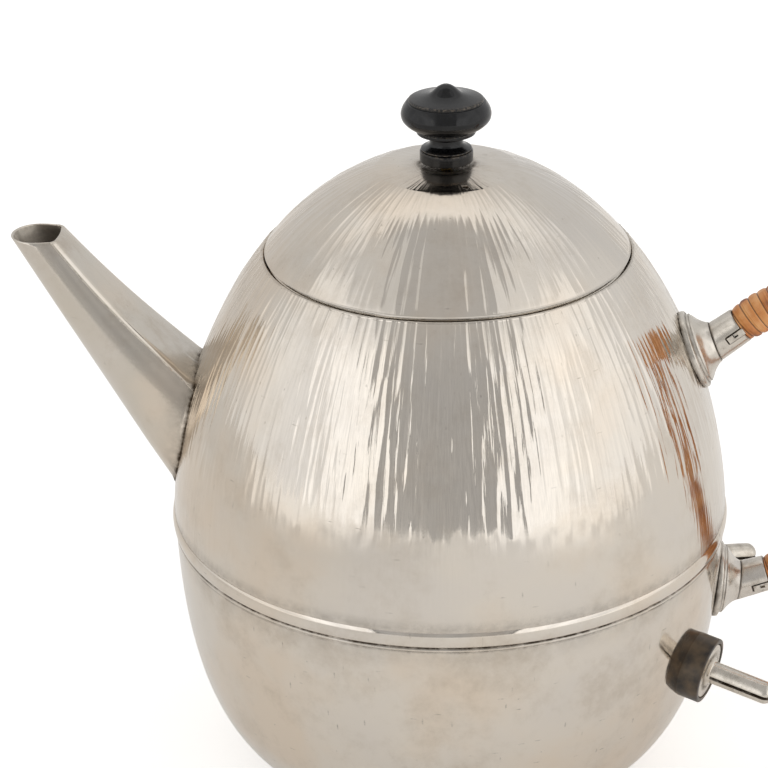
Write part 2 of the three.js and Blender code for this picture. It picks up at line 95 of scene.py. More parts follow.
def surface(
    name: str, points: np.ndarray, loop_rows: bool, layers: dict[str, np.ndarray]
) -> bpy.types.Object:
    """Makes a mesh of a grid of points whose columns run round and close on themselves.

    Quads join each point to the next row and column. A row whose points all coincide becomes one pole.
    The signed volume under the quads says which way they face, and they are turned to face out.

    Args:
        name: the piece's name.
        points: an array (rows, columns, 3) in millimetres.
        loop_rows: whether the last row joins the first.
        layers: a number or a vector for each point, by attribute name.

    Returns:
        The new object, smooth shaded, at the origin.
    """
    rows, columns = points.shape[:2]
    span = np.ptp(points, axis=1).max(axis=1)
    ids = np.arange(rows * columns).reshape(rows, columns)
    ids[span < TINY] = ids[span < TINY][:, :1]
    kept, flat = np.unique(ids, return_inverse=True)
    ids = flat.reshape(rows, columns)
    below = ids if loop_rows else ids[:-1]
    above = np.roll(ids, -1, axis=0) if loop_rows else ids[1:]
    quads = np.stack([below, np.roll(below, -1, 1), np.roll(above, -1, 1), above], -1).reshape(-1, 4)
    xyz = points.reshape(-1, 3)[kept] * MM
    a, b, c, d = (xyz[quads[:, i]] for i in range(4))
    volume = np.einsum("ij,ij->", a, np.cross(b, c)) + np.einsum("ij,ij->", a, np.cross(c, d))
    if volume < 0:
        quads = quads[:, ::-1]
    pole = [quads[:, i] == quads[:, (i + 1) % 4] for i in range(4)]
    is_quad = ~np.logical_or.reduce(pole)
    faces = quads[is_quad].tolist()
    for i in range(4):
        faces += np.delete(quads[pole[i]], i, axis=1).tolist()
    mesh = bpy.data.meshes.new(name)
    mesh.from_pydata(xyz, [], faces)
    for layer, values in layers.items():
        kind, field_name = ("FLOAT_VECTOR", "vector") if values.ndim == 3 else ("FLOAT", "value")
        attribute = mesh.attributes.new(layer, kind, "POINT")
        per_point = values.reshape(rows * columns, -1)[kept].astype(np.float32)
        attribute.data.foreach_set(field_name, per_point.reshape(-1))
    mesh.shade_smooth()
    mesh.validate()
    made = bpy.data.objects.new(name, mesh)
    bpy.context.scene.collection.objects.link(made)
    return made


def arc(centre: tuple[float, float], radius: float, start: float, stop: float, count: int) -> np.ndarray:
    """Points on an arc: centre plus radius times cosine and sine of each angle, in degrees."""
    a = np.radians(np.linspace(start, stop, count))
    return np.stack([centre[0] + radius * np.cos(a), centre[1] + radius * np.sin(a)], -1)


def rounded(corners: list[tuple[float, ...]], closed: bool, steps: int = 4) -> np.ndarray:
    """An outline with each corner rounded.

    A corner is (r, z) or (r, z, radius). Its rounding is a quadratic curve from a point one radius before
    the corner to one radius after it, held to 0.48 of the shorter side, so straight stretches stay straight.

    Args:
        corners: the outline's corners.
        closed: whether the last corner joins the first.
        steps: points on each rounding.

    Returns:
        An array (points, 2).
    """
    at = np.array([c[:2] for c in corners], float)
    count = len(corners)
    most = 0.48
    out = []
    for i, corner in enumerate(corners):
        radius = corner[2] if len(corner) > 2 else 0.0
        if radius == 0 or (not closed and i in (0, count - 1)):
            out.append(at[i])
            continue
        before, after = at[i - 1] - at[i], at[(i + 1) % count] - at[i]
        lengths = np.linalg.norm(before), np.linalg.norm(after)
        reach = min(radius, most * min(lengths))
        start, stop = at[i] + before / lengths[0] * reach, at[i] + after / lengths[1] * reach
        t = np.linspace(0, 1, steps + 1)[:, None]
        out.extend((1 - t) ** 2 * start + 2 * t * (1 - t) * at[i] + t**2 * stop)
    return np.array(out)


def dense(outline: np.ndarray, step: float) -> np.ndarray:
    """Adds points to an outline, evenly on each stretch, so that none is longer than the step.

    Args:
        outline: an array (points, 2).
        step: the longest stretch in millimetres.

    Returns:
        The outline with more points.
    """
    parts = []
    for a, b in zip(outline[:-1], outline[1:]):
        count = max(1, int(np.ceil(np.linalg.norm(b - a) / step)))
        parts.append(a + (b - a) * np.linspace(0, 1, count, endpoint=False)[:, None])
    return np.vstack([*parts, outline[-1:]])


def turned(outline: np.ndarray, columns: int) -> np.ndarray:
    """A surface of revolution: (r cos t, r sin t, z) for each outline point and each angle t.

    Args:
        outline: the radius r and height z of each point.
        columns: how many angles, evenly round the axis.

    Returns:
        An array (points of the outline, columns, 3).
    """
    t = np.arange(columns) * TURN / columns
    r, z = outline[:, :1], outline[:, 1:2]
    return np.stack([r * np.cos(t), r * np.sin(t), z + 0 * t], -1)


@dataclass(frozen=True)
class Seat:
    """Where a fitting stands on the body: a point, the compass angle and tilt of its axis, in degrees."""

    point: tuple[float, float, float]
    angle: float
    tilt: float

    def axis(self) -> np.ndarray:
        """The unit vector along the fitting's axis."""
        a, t = np.radians([self.angle, self.tilt])
        return np.array([np.cos(t) * np.cos(a), np.cos(t) * np.sin(a), np.sin(t)])

    def matrix(self) -> np.ndarray:
        """The fitting's own directions: x lies down its tilt, y sideways and z along its axis.

        Returns:
            Three rows, one unit vector each.
        """
        a, t = np.radians([self.angle, self.tilt])
        down = np.array([np.sin(t) * np.cos(a), np.sin(t) * np.sin(a), -np.cos(t)])
        side = np.array([-np.sin(a), np.cos(a), 0.0])
        return np.array([down, side, self.axis()])

    def place(self, points: np.ndarray) -> np.ndarray:
        """Points of the fitting's own frame, moved into the kettle's frame."""
        return points @ self.matrix() + np.array(self.point)


def smooth_step(edge0: float, edge1: float, x: np.ndarray) -> np.ndarray:
    """0 before edge0, 1 after edge1, and 3t^2 - 2t^3 between them."""
    t = np.clip((x - edge0) / (edge1 - edge0), 0, 1)
    return t * t * (3 - 2 * t)


def bell(x: np.ndarray, middle: float, width: float) -> np.ndarray:
    """exp(-((x - middle) / width)^2): 1 at the middle, and about a third a width away from it."""
    return np.exp(-(((x - middle) / width) ** 2))


def waves(angle: np.ndarray, height: np.ndarray, seed: int, count: int, finest: float) -> np.ndarray:
    """Slow unevenness of hand-worked sheet, about -1 to 1.

    The sum of sines of (whole number x angle + height / length + phase), weaker the more often they go
    round: each is divided by 1 + number / 8.

    Args:
        angle: radians round the axis.
        height: millimetres along it.
        seed: of the random draws.
        count: how many sines.
        finest: the shortest wavelength in millimetres.

    Returns:
        The sum at each place, over the root of the count.
    """
    girth = 400.0
    fewest = 2
    halved_at = 8
    draw = np.random.default_rng(seed)
    total = np.zeros(np.broadcast(angle, height).shape)
    for _ in range(count):
        turns = draw.integers(fewest, max(fewest + 1, int(girth / finest)))
        run = draw.uniform(-1, 1) / finest
        wave = np.sin(turns * angle + run * TURN * height + draw.uniform(0, TURN))
        total += wave / (1 + turns / halved_at)
    return total / np.sqrt(count)


def wrapped(angle: np.ndarray, run: np.ndarray, radius: float) -> np.ndarray:
    """Places on a cylinder of one radius, in metres: for patterns that follow the hammer round and along."""
    return np.stack([radius * np.cos(angle), radius * np.sin(angle), run + 0 * angle], -1) * MM


@dataclass(frozen=True)
class PeenMarks:
    """Long narrow dents from a cross-peen hammer, side by side round the piece.

    Each dent lies in a jittered cell, as wide as 1/count of a turn and as long as `length`. Its bowl is
    (cells across)^2 + slim x (cells along)^2 + a lift and a lean of its own, and its height is
    depth x bowl^edge, so its floor is flat and its sides steepen. The surface takes whichever dent is
    deepest, so neighbours meet in crisp ridges.
    """

    count: int
    length: float
    depth: float
    seed: int
    edge: float = 1.5
    wander: float = 0.7
    slim: float = 0.7
    lift: float = 0.4
    lean: float = 0.55

    def height(self, angle: np.ndarray, run: np.ndarray) -> np.ndarray:
        """How high the surface stands among the dents, as the class's formula says.

        Args:
            angle: radians round the axis.
            run: millimetres along the wall, from 0.

        Returns:
            Millimetres above the dents' floor.
        """
        draw = np.random.default_rng(self.seed)
        u = np.mod(angle / TURN, 1) * self.count
        v = run / self.length
        levels = int(v.max()) + 4
        jitter_u, jitter_v, lift, lean = draw.random((4, levels, self.count))
        best = np.full(u.shape, np.inf)
        for across in (-2, -1, 0, 1, 2):
            for along in (-1, 0, 1):
                cu, cv = np.floor(u) + across, np.floor(v) + along
                key = (np.mod(cv, levels).astype(int), np.mod(cu, self.count).astype(int))
                du = u - cu - 0.5 * (1 - self.wander) - self.wander * jitter_u[key]
                dv = v - cv - jitter_v[key]
                bowl = du**2 + self.slim * dv**2 + self.lift * lift[key] + self.lean * (lean[key] - 0.5) * du
                best = np.minimum(best, bowl)
        return self.depth * np.maximum(best, 0) ** self.edge

    def stagger(self, angle: np.ndarray, reach: float) -> np.ndarray:
        """How much further or less far each column of dents runs, up to the reach, in millimetres."""
        ends = np.random.default_rng(self.seed + 1).uniform(-reach, reach, self.count)
        return ends[np.floor(np.mod(angle / TURN, 1) * self.count).astype(int) % self.count]


# ---------------------------------------------------------------- finishes


def srgb(code: str) -> tuple[float, float, float, float]:
    """A hex colour as linear light, by the sRGB curve.

    Args:
        code: a hash and six hex digits.

    Returns:
        Red, green, blue and an alpha of 1.
    """
    parts = [int(code[i : i + 2], 16) / 255 for i in (1, 3, 5)]
    linear = [c / 12.92 if c <= 0.04045 else ((c + 0.055) / 1.055) ** 2.4 for c in parts]
    return (*linear, 1.0)


def per_metre(size_mm: float) -> float:
    """How many times a size goes into a metre: the scale of a pattern of that size."""
    return 1 / (size_mm * MM)


def add_node(
    tree: Tree, kind: str, inputs: dict | None = None, stops: Stops | None = None, **settings
) -> bpy.types.Node:
    """Adds a node to a tree.

    Args:
        tree: the material's or world's nodes.
        kind: the node's type name without its "ShaderNode" start.
        inputs: by input name or number, a value to set or an output socket to link.
        stops: for a colour ramp, pairs of a place and a hex colour or a level of grey light.
        settings: the node's own properties.

    Returns:
        The node.
    """
    made = tree.nodes.new("ShaderNode" + kind)
    for key, value in settings.items():
        setattr(made, key, value)
    for key, value in (inputs or {}).items():
        if isinstance(value, bpy.types.NodeSocket):
            tree.links.new(value, made.inputs[key])
        else:
            made.inputs[key].default_value = value
    if stops:
        while len(made.color_ramp.elements) < len(stops):
            made.color_ramp.elements.new(1)
        for element, (place, code) in zip(made.color_ramp.elements, stops):
            element.position = place
            element.color = srgb(code) if isinstance(code, str) else (code, code, code, 1.0)
    return made


def blank(name: str) -> tuple[bpy.types.Material, Tree, bpy.types.Node]:
    """Makes a new material.

    Args:
        name: the finish's name.

    Returns:
        The material, its nodes and its main shader.
    """
    made = bpy.data.materials.new(name)
    made.use_nodes = True
    return made, made.node_tree, made.node_tree.nodes["Principled BSDF"]


@dataclass(frozen=True)
class Mark:
    """One kind of small damage: where its cells lie, how they are drawn out, and how many hold a mark."""

    apart_mm: float
    squeeze: tuple[float, float, float]
    lean: float
    size: float
    above: float


# Pits are round and up to half a millimetre wide. Nicks are dashes up to 2 mm long, one kind lying each way.
MARKS = (
    Mark(5.0, (1.0, 1.0, 1.0), 0.0, 0.06, 0.7),
    Mark(9.0, (1.0, 1.0, 6.0), 0.8, 0.14, 0.68),
    Mark(8.0, (3.5, 3.5, 0.8), -0.6, 0.14, 0.66),
)


@dataclass(frozen=True)
class NickelPlate:
    """Nickel plated on brass and buffed: a warm grey mirror, a little hazy, browner where it has tarnished.

    Buffing leaves hairlines; a century of use leaves blotches of haze 10 to 30 mm across, pits and short
    nicks under 2 mm, and brown tarnish along seams where polish and cloth don't reach. The same seam brown
    is laid as painted shade in joints, creases, slots and holes. Hammered pieces carry fine streaks a
    millimetre wide that run with the hammer, from the piece's own hammer attribute. Its attribute for grime
    and shade says where seams are dirty and where shade is painted, and its etched attribute where the plate
    is matt.
    """

    name: str
    clean: str = "#dbd3c8"
    dull: str = "#b3a491"
    # the dark brown of tarnished seams, also laid as painted shade in joints and hollows
    seam: str = "#4a3f33"
    haze: tuple[float, float] = (0.06, 0.2)
    blotch_mm: float = 22.0
    blotch: float = 0.45
    hairline: float = 0.25
    nicks: float = 0.6
    streaks: float = 0.0
    tarnish_mm: float = 38.0
    breakup_mm: float = 4.0
    peel_mm: float = 3.5
    streak_mm: float = 1.3
    rub_mm: float = 0.8

    def material(self) -> bpy.types.Material:
        """Builds the material: colour, then roughness, then relief from the coarsest to the finest.

        Returns:
            The material.
        """
        made, tree, shader = blank(self.name)
        place = add_node(tree, "TexCoord").outputs["Object"]
        cloud = add_node(
            tree, "TexNoise",
            {"Vector": place, "Scale": per_metre(self.blotch_mm), "Detail": 9.0, "Roughness": 0.72},
        ).outputs["Fac"]
        tint = self.tint(tree, place, cloud)
        hairs = self.hairs(tree, place)
        marks = self.marks(tree, place)
        # grime, painted shade in joints and hollows, and pits and nicks darken the colour towards the seam
        # brown
        dirt_and_shade = add_node(tree, "Math", {0: self.grime_and_shade(tree, place), 1: marks}, operation="MAXIMUM").outputs[0]
        colour = add_node(tree, "Mix", {FACTOR: dirt_and_shade, UNDER: tint, OVER: srgb(self.seam)}, data_type="RGBA")
        tree.links.new(colour.outputs[MIXED], shader.inputs["Base Color"])
        shader.inputs["Metallic"].default_value = 1.0
        tree.links.new(self.roughness(tree, cloud, hairs, dirt_and_shade), shader.inputs["Roughness"])
        tree.links.new(self.relief(tree, place, hairs, marks), shader.inputs["Normal"])
        return made

    def roughness(self, tree: Tree, cloud: Socket, hairs: Socket, dirt_and_shade: Socket) -> Socket:
        """Haze where the clouds are, more along hairlines, in grime and painted shade, and where the plate is
        etched.

        Args:
            tree: the material's nodes.
            cloud: how thick the clouds are.
            hairs: where the hairlines are.
            dirt_and_shade: how much grime and painted shade lies there.

        Returns:
            The roughness.
        """
        hazy = add_node(
            tree, "MapRange",
            {VALUE: cloud, LOW: 0.35, HIGH: 0.75, OUT_LOW: self.haze[0], OUT_HIGH: self.haze[1]},
        ).outputs[0]
        lined = add_node(tree, "Math", {0: hairs, 1: 0.25 * self.hairline, 2: hazy}, operation="MULTIPLY_ADD")
        dirty = add_node(tree, "Math", {0: dirt_and_shade, 1: 0.45, 2: lined.outputs[0]}, operation="MULTIPLY_ADD")
        etched = add_node(tree, "Attribute", attribute_name="etched").outputs["Fac"]
        return add_node(
            tree, "Math", {0: etched, 1: 0.5, 2: dirty.outputs[0]}, operation="MULTIPLY_ADD"
        ).outputs[0]

    def relief(self, tree: Tree, place: Socket, hairs: Socket, marks: Socket) -> Socket:
        """Skin like a fine orange peel, streaks along the hammer, then hairlines and nicks cut into it.

        Args:
            tree: the material's nodes.
            place: where on the piece.
            hairs: where the hairlines are.
            marks: where the pits and nicks are.

        Returns:
            The normal.
        """
        peel = add_node(tree, "TexNoise", {"Vector": place, "Scale": per_metre(self.peel_mm), "Detail": 3.0})
        skin = add_node(tree, "Bump", {"Height": peel.outputs["Fac"], "Strength": 0.3, "Distance": 0.02 * MM})
        run = add_node(tree, "Attribute", attribute_name="hammer").outputs["Vector"]
        streak = add_node(
            tree, "TexNoise", {"Vector": run, "Scale": per_metre(self.streak_mm), "Detail": 2.5}
        )
        normal = skin.outputs[0]
        for height, strength, depth_mm, sunk in (
            (streak.outputs["Fac"], self.streaks, 0.1, False),
            (hairs, self.hairline, 0.012, True),
            (marks, 0.5, 0.05, True),
        ):
            normal = add_node(
                tree, "Bump",
                {"Height": height, "Strength": strength, "Distance": depth_mm * MM, "Normal": normal},
                invert=sunk,
            ).outputs[0]
        return normal

    def tint(self, tree: Tree, place: Socket, cloud: Socket) -> Socket:
        """Clean metal, duller where the clouds are thick, with a trace of pink and of straw in places.

        Args:
            tree: the material's nodes.
            place: where on the piece.
            cloud: how thick the clouds are.

        Returns:
            The colour.
        """
        cloudy = add_node(
            tree, "MapRange", {VALUE: cloud, LOW: 0.44, HIGH: 0.74, OUT_LOW: 0.0, OUT_HIGH: self.blotch},
            interpolation_type="SMOOTHSTEP",
        ).outputs[0]
        wide = add_node(
            tree, "TexNoise", {"Vector": place, "Scale": per_metre(self.tarnish_mm), "Detail": 4.0}
        )
        warm = add_node(
            tree, "ValToRGB", {"Fac": wide.outputs["Fac"]},
            [(0.36, "#d8d1c8"), (0.5, self.clean), (0.66, "#dccfbf")],
        ).outputs["Color"]
        return add_node(
            tree, "Mix", {FACTOR: cloudy, UNDER: warm, OVER: srgb(self.dull)}, data_type="RGBA"
        ).outputs[MIXED]

    def hairs(self, tree: Tree, place: Socket) -> Socket:
        """Hairlines: noise drawn out about 30 times along one direction, twice, crossing.

        Args:
            tree: the material's nodes.
            place: where on the piece.

        Returns:
            1 on a hairline and 0 between them.
        """
        lines = []
        for turn, squeeze in ((0.5, (900.0, 30.0, 900.0)), (-0.9, (40.0, 1100.0, 40.0))):
            laid = add_node(
                tree, "Mapping", {"Vector": place, "Rotation": (turn, turn, 0.3), "Scale": squeeze}
            ).outputs[0]
            fine = add_node(tree, "TexNoise", {"Vector": laid, "Scale": 1.0, "Detail": 2.0}).outputs["Fac"]
            lines.append(add_node(tree, "MapRange", {VALUE: fine, LOW: 0.6, HIGH: 0.78}).outputs[0])
        return add_node(tree, "Math", {0: lines[0], 1: lines[1]}, operation="MAXIMUM").outputs[0]

    def marks(self, tree: Tree, place: Socket) -> Socket:
        """Pits and nicks: the middles of some scattered cells, each kind as MARKS says, half rubbed out.

        Args:
            tree: the material's nodes.
            place: where on the piece.

        Returns:
            How deep the mark is, up to `nicks`.
        """
        found = []
        for mark in MARKS:
            laid = add_node(
                tree, "Mapping",
                {"Vector": place, "Rotation": (mark.lean, mark.lean, 0.0), "Scale": mark.squeeze},
            ).outputs[0]
            cells = add_node(
                tree, "TexVoronoi", {"Vector": laid, "Scale": per_metre(mark.apart_mm), "Randomness": 1.0}
            )
            away = cells.outputs["Distance"]
            dot = add_node(
                tree, "MapRange",
                {VALUE: away, LOW: 0.4 * mark.size, HIGH: mark.size, OUT_LOW: 1.0, OUT_HIGH: 0.0},
            ).outputs[0]
            chosen = add_node(
                tree, "Math", {0: cells.outputs["Color"], 1: mark.above}, operation="GREATER_THAN"
            ).outputs[0]
            found.append(add_node(tree, "Math", {0: dot, 1: chosen}, operation="MULTIPLY").outputs[0])
        both = add_node(tree, "Math", {0: found[0], 1: found[1]}, operation="MAXIMUM").outputs[0]
        every = add_node(tree, "Math", {0: both, 1: found[2]}, operation="MAXIMUM").outputs[0]
        rubbed = add_node(
            tree, "TexNoise", {"Vector": place, "Scale": per_metre(self.rub_mm), "Detail": 3.0}
        ).outputs["Fac"]
        uneven = add_node(
            tree, "MapRange", {VALUE: rubbed, LOW: 0.35, HIGH: 0.65, OUT_LOW: 0.0, OUT_HIGH: self.nicks}
        ).outputs[0]
        return add_node(tree, "Math", {0: every, 1: uneven}, operation="MULTIPLY").outputs[0]

    def grime_and_shade(self, tree: Tree, place: Socket) -> Socket:
        """Grime in the seams, and painted shade in joints, slots and holes, as the piece's own attribute
        gives, broken up from 4 mm down.

        Args:
            tree: the material's nodes.
            place: where on the piece.

        Returns:
            How much grime and painted shade lies there, 0 to 1.
        """
        laid = add_node(tree, "Attribute", attribute_name="grime_and_shade").outputs["Fac"]
        breakup = add_node(
            tree, "TexNoise",
            {"Vector": place, "Scale": per_metre(self.breakup_mm), "Detail": 7.0, "Roughness": 0.7},
        ).outputs["Fac"]
        patchy = add_node(
            tree, "MapRange", {VALUE: breakup, LOW: 0.36, HIGH: 0.62, OUT_LOW: 0.3, OUT_HIGH: 1.1}
        ).outputs[0]
        return add_node(tree, "Math", {0: laid, 1: patchy}, operation="MULTIPLY", use_clamp=True).outputs[0]


@dataclass(frozen=True)
class DullMetal:
    """Metal left as it was turned, rolled or tinned: brass, mild steel or a tin lining.

    Heat and air have dulled it, so it is satin, and darker in grains 3 to 8 mm across.
    """

    name: str
    light: str
    dark: str
    rough: tuple[float, float]
    grain_mm: float = 3.0

    def material(self) -> bpy.types.Material:
        """Builds the material: noise at the grain's size mixes light and dark and moves the roughness.

        Returns:
            The material.
        """
        made, tree, shader = blank(self.name)
        place = add_node(tree, "TexCoord").outputs["Object"]
        grain = add_node(
            tree, "TexNoise", {"Vector": place, "Scale": per_metre(self.grain_mm), "Detail": 6.0}
        ).outputs["Fac"]
        colour = add_node(tree, "ValToRGB", {"Fac": grain}, [(0.35, self.dark), (0.68, self.light)])
        tree.links.new(colour.outputs["Color"], shader.inputs["Base Color"])
        spread = add_node(
            tree, "MapRange",
            {VALUE: grain, LOW: 0.3, HIGH: 0.7, OUT_LOW: self.rough[1], OUT_HIGH: self.rough[0]},
        ).outputs[0]
        tree.links.new(spread, shader.inputs["Roughness"])
        shader.inputs["Metallic"].default_value = 1.0
        uneven = add_node(tree, "Bump", {"Height": grain, "Strength": 0.3, "Distance": 0.03 * MM}).outputs[0]
        tree.links.new(uneven, shader.inputs["Normal"])
        return made


@dataclass(frozen=True)
class EbonisedWood:
    """Pearwood dyed black and polished on the lathe: satin black with faint turning lines.

    It is browner and scuffed on its sharp edges, where fingers have worn the dye; the piece's own wear
    attribute says where.
    """

    name: str = "ebonised_pearwood"
    bare: str = "#75695b"
    grain_mm: float = 0.9
    scuff_mm: float = 0.7
    gloss_mm: float = 6.0
    gloss: tuple[float, float] = (0.1, 0.26)
    turning_mm: float = 2.2

    def material(self) -> bpy.types.Material:
        """Builds the material: fine grain along z, and lathe lines 0.7 mm apart across it.

        Returns:
            The material.
        """
        made, tree, shader = blank(self.name)
        place = add_node(tree, "TexCoord").outputs["Object"]
        laid = add_node(tree, "Mapping", {"Vector": place, "Scale": (1.0, 1.0, 0.12)}).outputs[0]
        grain = add_node(
            tree, "TexNoise", {"Vector": laid, "Scale": per_metre(self.grain_mm), "Detail": 8.0}
        ).outputs["Fac"]
        dyed = add_node(
            tree, "ValToRGB", {"Fac": grain}, [(0.35, "#040405"), (0.6, "#0e0e10"), (0.78, "#221f1c")]
        ).outputs["Color"]
        edge = add_node(tree, "Attribute", attribute_name="wear").outputs["Fac"]
        scuff = add_node(
            tree, "TexNoise", {"Vector": place, "Scale": per_metre(self.scuff_mm), "Detail": 6.0}
        ).outputs["Fac"]
        rubbed = add_node(tree, "MapRange", {VALUE: scuff, LOW: 0.42, HIGH: 0.66}).outputs[0]
        worn = add_node(tree, "Math", {0: edge, 1: rubbed}, operation="MULTIPLY", use_clamp=True).outputs[0]
        colour = add_node(tree, "Mix", {FACTOR: worn, UNDER: dyed, OVER: srgb(self.bare)}, data_type="RGBA")
        tree.links.new(colour.outputs[MIXED], shader.inputs["Base Color"])
        patch = add_node(
            tree, "TexNoise", {"Vector": place, "Scale": per_metre(self.gloss_mm), "Detail": 4.0}
        ).outputs["Fac"]
        gloss = add_node(
            tree, "MapRange",
            {VALUE: patch, LOW: 0.35, HIGH: 0.7, OUT_LOW: self.gloss[0], OUT_HIGH: self.gloss[1]},
        ).outputs[0]
        tree.links.new(gloss, shader.inputs["Roughness"])
        shader.inputs["IOR"].default_value = 1.43
        lines = add_node(
            tree, "TexWave",
            {"Vector": place, "Scale": per_metre(self.turning_mm), "Distortion": 1.5, "Detail": 2.0},
            wave_type="BANDS", bands_direction="Z",
        ).outputs["Fac"]
        pores = add_node(tree, "Bump", {"Height": grain, "Strength": 0.25, "Distance": 0.05 * MM}).outputs[0]
        ribbed = add_node(
            tree, "Bump", {"Height": lines, "Strength": 0.12, "Distance": 0.03 * MM, "Normal": pores}
        ).outputs[0]
        tree.links.new(ribbed, shader.inputs["Normal"])
        return made


@dataclass(frozen=True)
class RattanCane:
    """Split rattan wound wet round the grip and varnished: honey brown, glossy skin, with painted shade in
    the seams.

    The strip's fibres run with the winding, and each turn is a slightly different brown. The winding's own
    attributes say which turn it is, how far across the strip, and how deep in the seam.
    """

    name: str = "varnished_rattan"
    # the dark brown painted as shade in the valleys between turns
    deep: str = "#3f2410"
    fibres: tuple[float, float, float] = (12.0, 9.0, 1.0)
    blotch_mm: float = 7.0

    def material(self) -> bpy.types.Material:
        """Builds the material: fibres, blotches and a shade for each turn give one number for the colour.

        Returns:
            The material.
        """
        made, tree, shader = blank(self.name)
        turn = add_node(tree, "Attribute", attribute_name="turn").outputs["Fac"]
        seam = add_node(tree, "Attribute", attribute_name="seam").outputs["Fac"]
        across = add_node(tree, "Attribute", attribute_name="across").outputs["Fac"]
        place = add_node(tree, "TexCoord").outputs["Object"]
        whole = add_node(tree, "Math", {0: turn}, operation="FLOOR").outputs[0]
        strip = add_node(tree, "TexWhiteNoise", {"W": whole}, noise_dimensions="1D").outputs["Value"]
        on_strip = add_node(tree, "CombineXYZ", {"X": turn, "Y": across}).outputs[0]
        laid = add_node(tree, "Mapping", {"Vector": on_strip, "Scale": self.fibres}).outputs[0]
        fibre = add_node(tree, "TexNoise", {"Vector": laid, "Scale": 1.0, "Detail": 6.0}).outputs["Fac"]
        blotch = add_node(
            tree, "TexNoise", {"Vector": place, "Scale": per_metre(self.blotch_mm), "Detail": 4.0}
        ).outputs["Fac"]
        mixed = add_node(tree, "Math", {0: fibre, 1: 0.7, 2: blotch}, operation="MULTIPLY_ADD").outputs[0]
        varied = add_node(tree, "Math", {0: strip, 1: 0.22, 2: mixed}, operation="MULTIPLY_ADD").outputs[0]
        shade = add_node(tree, "MapRange", {VALUE: varied, LOW: 0.65, HIGH: 1.25}).outputs[0]
        skin = add_node(
            tree, "ValToRGB", {"Fac": shade},
            [(0.08, "#7d421c"), (0.32, "#bf7539"), (0.55, "#d48c4a"), (0.8, "#e5a96d")],
        ).outputs["Color"]
        # painted shade: darker towards the valley between turns, where the strips meet
        dark = add_node(
            tree, "MapRange", {VALUE: seam, LOW: 0.35, HIGH: 0.95}, interpolation_type="SMOOTHSTEP"
        ).outputs[0]
        colour = add_node(tree, "Mix", {FACTOR: dark, UNDER: skin, OVER: srgb(self.deep)}, data_type="RGBA")
        tree.links.new(colour.outputs[MIXED], shader.inputs["Base Color"])
        rough = add_node(
            tree, "MapRange", {VALUE: varied, LOW: 0.5, HIGH: 1.1, OUT_LOW: 0.6, OUT_HIGH: 0.38}
        ).outputs[0]
        tree.links.new(rough, shader.inputs["Roughness"])
        shader.inputs["IOR"].default_value = 1.5
        shader.inputs["Coat Weight"].default_value = 0.25
        shader.inputs["Coat Roughness"].default_value = 0.3
        raised = add_node(tree, "Bump", {"Height": fibre, "Strength": 0.35, "Distance": 0.08 * MM}).outputs[0]
        tree.links.new(raised, shader.inputs["Normal"])
        return made


@dataclass(frozen=True)
class Plain:
    """A material with no shine of its own: fibre board, mica, woven sleeving or bare ash."""

    name: str
    light: str
    dark: str
    rough: float
    grain_mm: float
    stretch: tuple[float, float, float] = (1.0, 1.0, 1.0)
    relief_mm: float = 0.04
    alpha: float = 1.0

    def material(self) -> bpy.types.Material:
        """Builds the material: noise at the grain's size, drawn out by the stretch, for colour and relief.

        Returns:
            The material.
        """
        made, tree, shader = blank(self.name)
        place = add_node(tree, "TexCoord").outputs["Object"]
        laid = add_node(tree, "Mapping", {"Vector": place, "Scale": self.stretch}).outputs[0]
        grain = add_node(
            tree, "TexNoise", {"Vector": laid, "Scale": per_metre(self.grain_mm), "Detail": 6.0}
        ).outputs["Fac"]
        colour = add_node(tree, "ValToRGB", {"Fac": grain}, [(0.34, self.dark), (0.66, self.light)])
        tree.links.new(colour.outputs["Color"], shader.inputs["Base Color"])
        shader.inputs["Roughness"].default_value = self.rough
        shader.inputs["Alpha"].default_value = self.alpha
        relief = add_node(
            tree, "Bump", {"Height": grain, "Strength": 0.5, "Distance": self.relief_mm * MM}
        ).outputs[0]
        tree.links.new(relief, shader.inputs["Normal"])
        return made


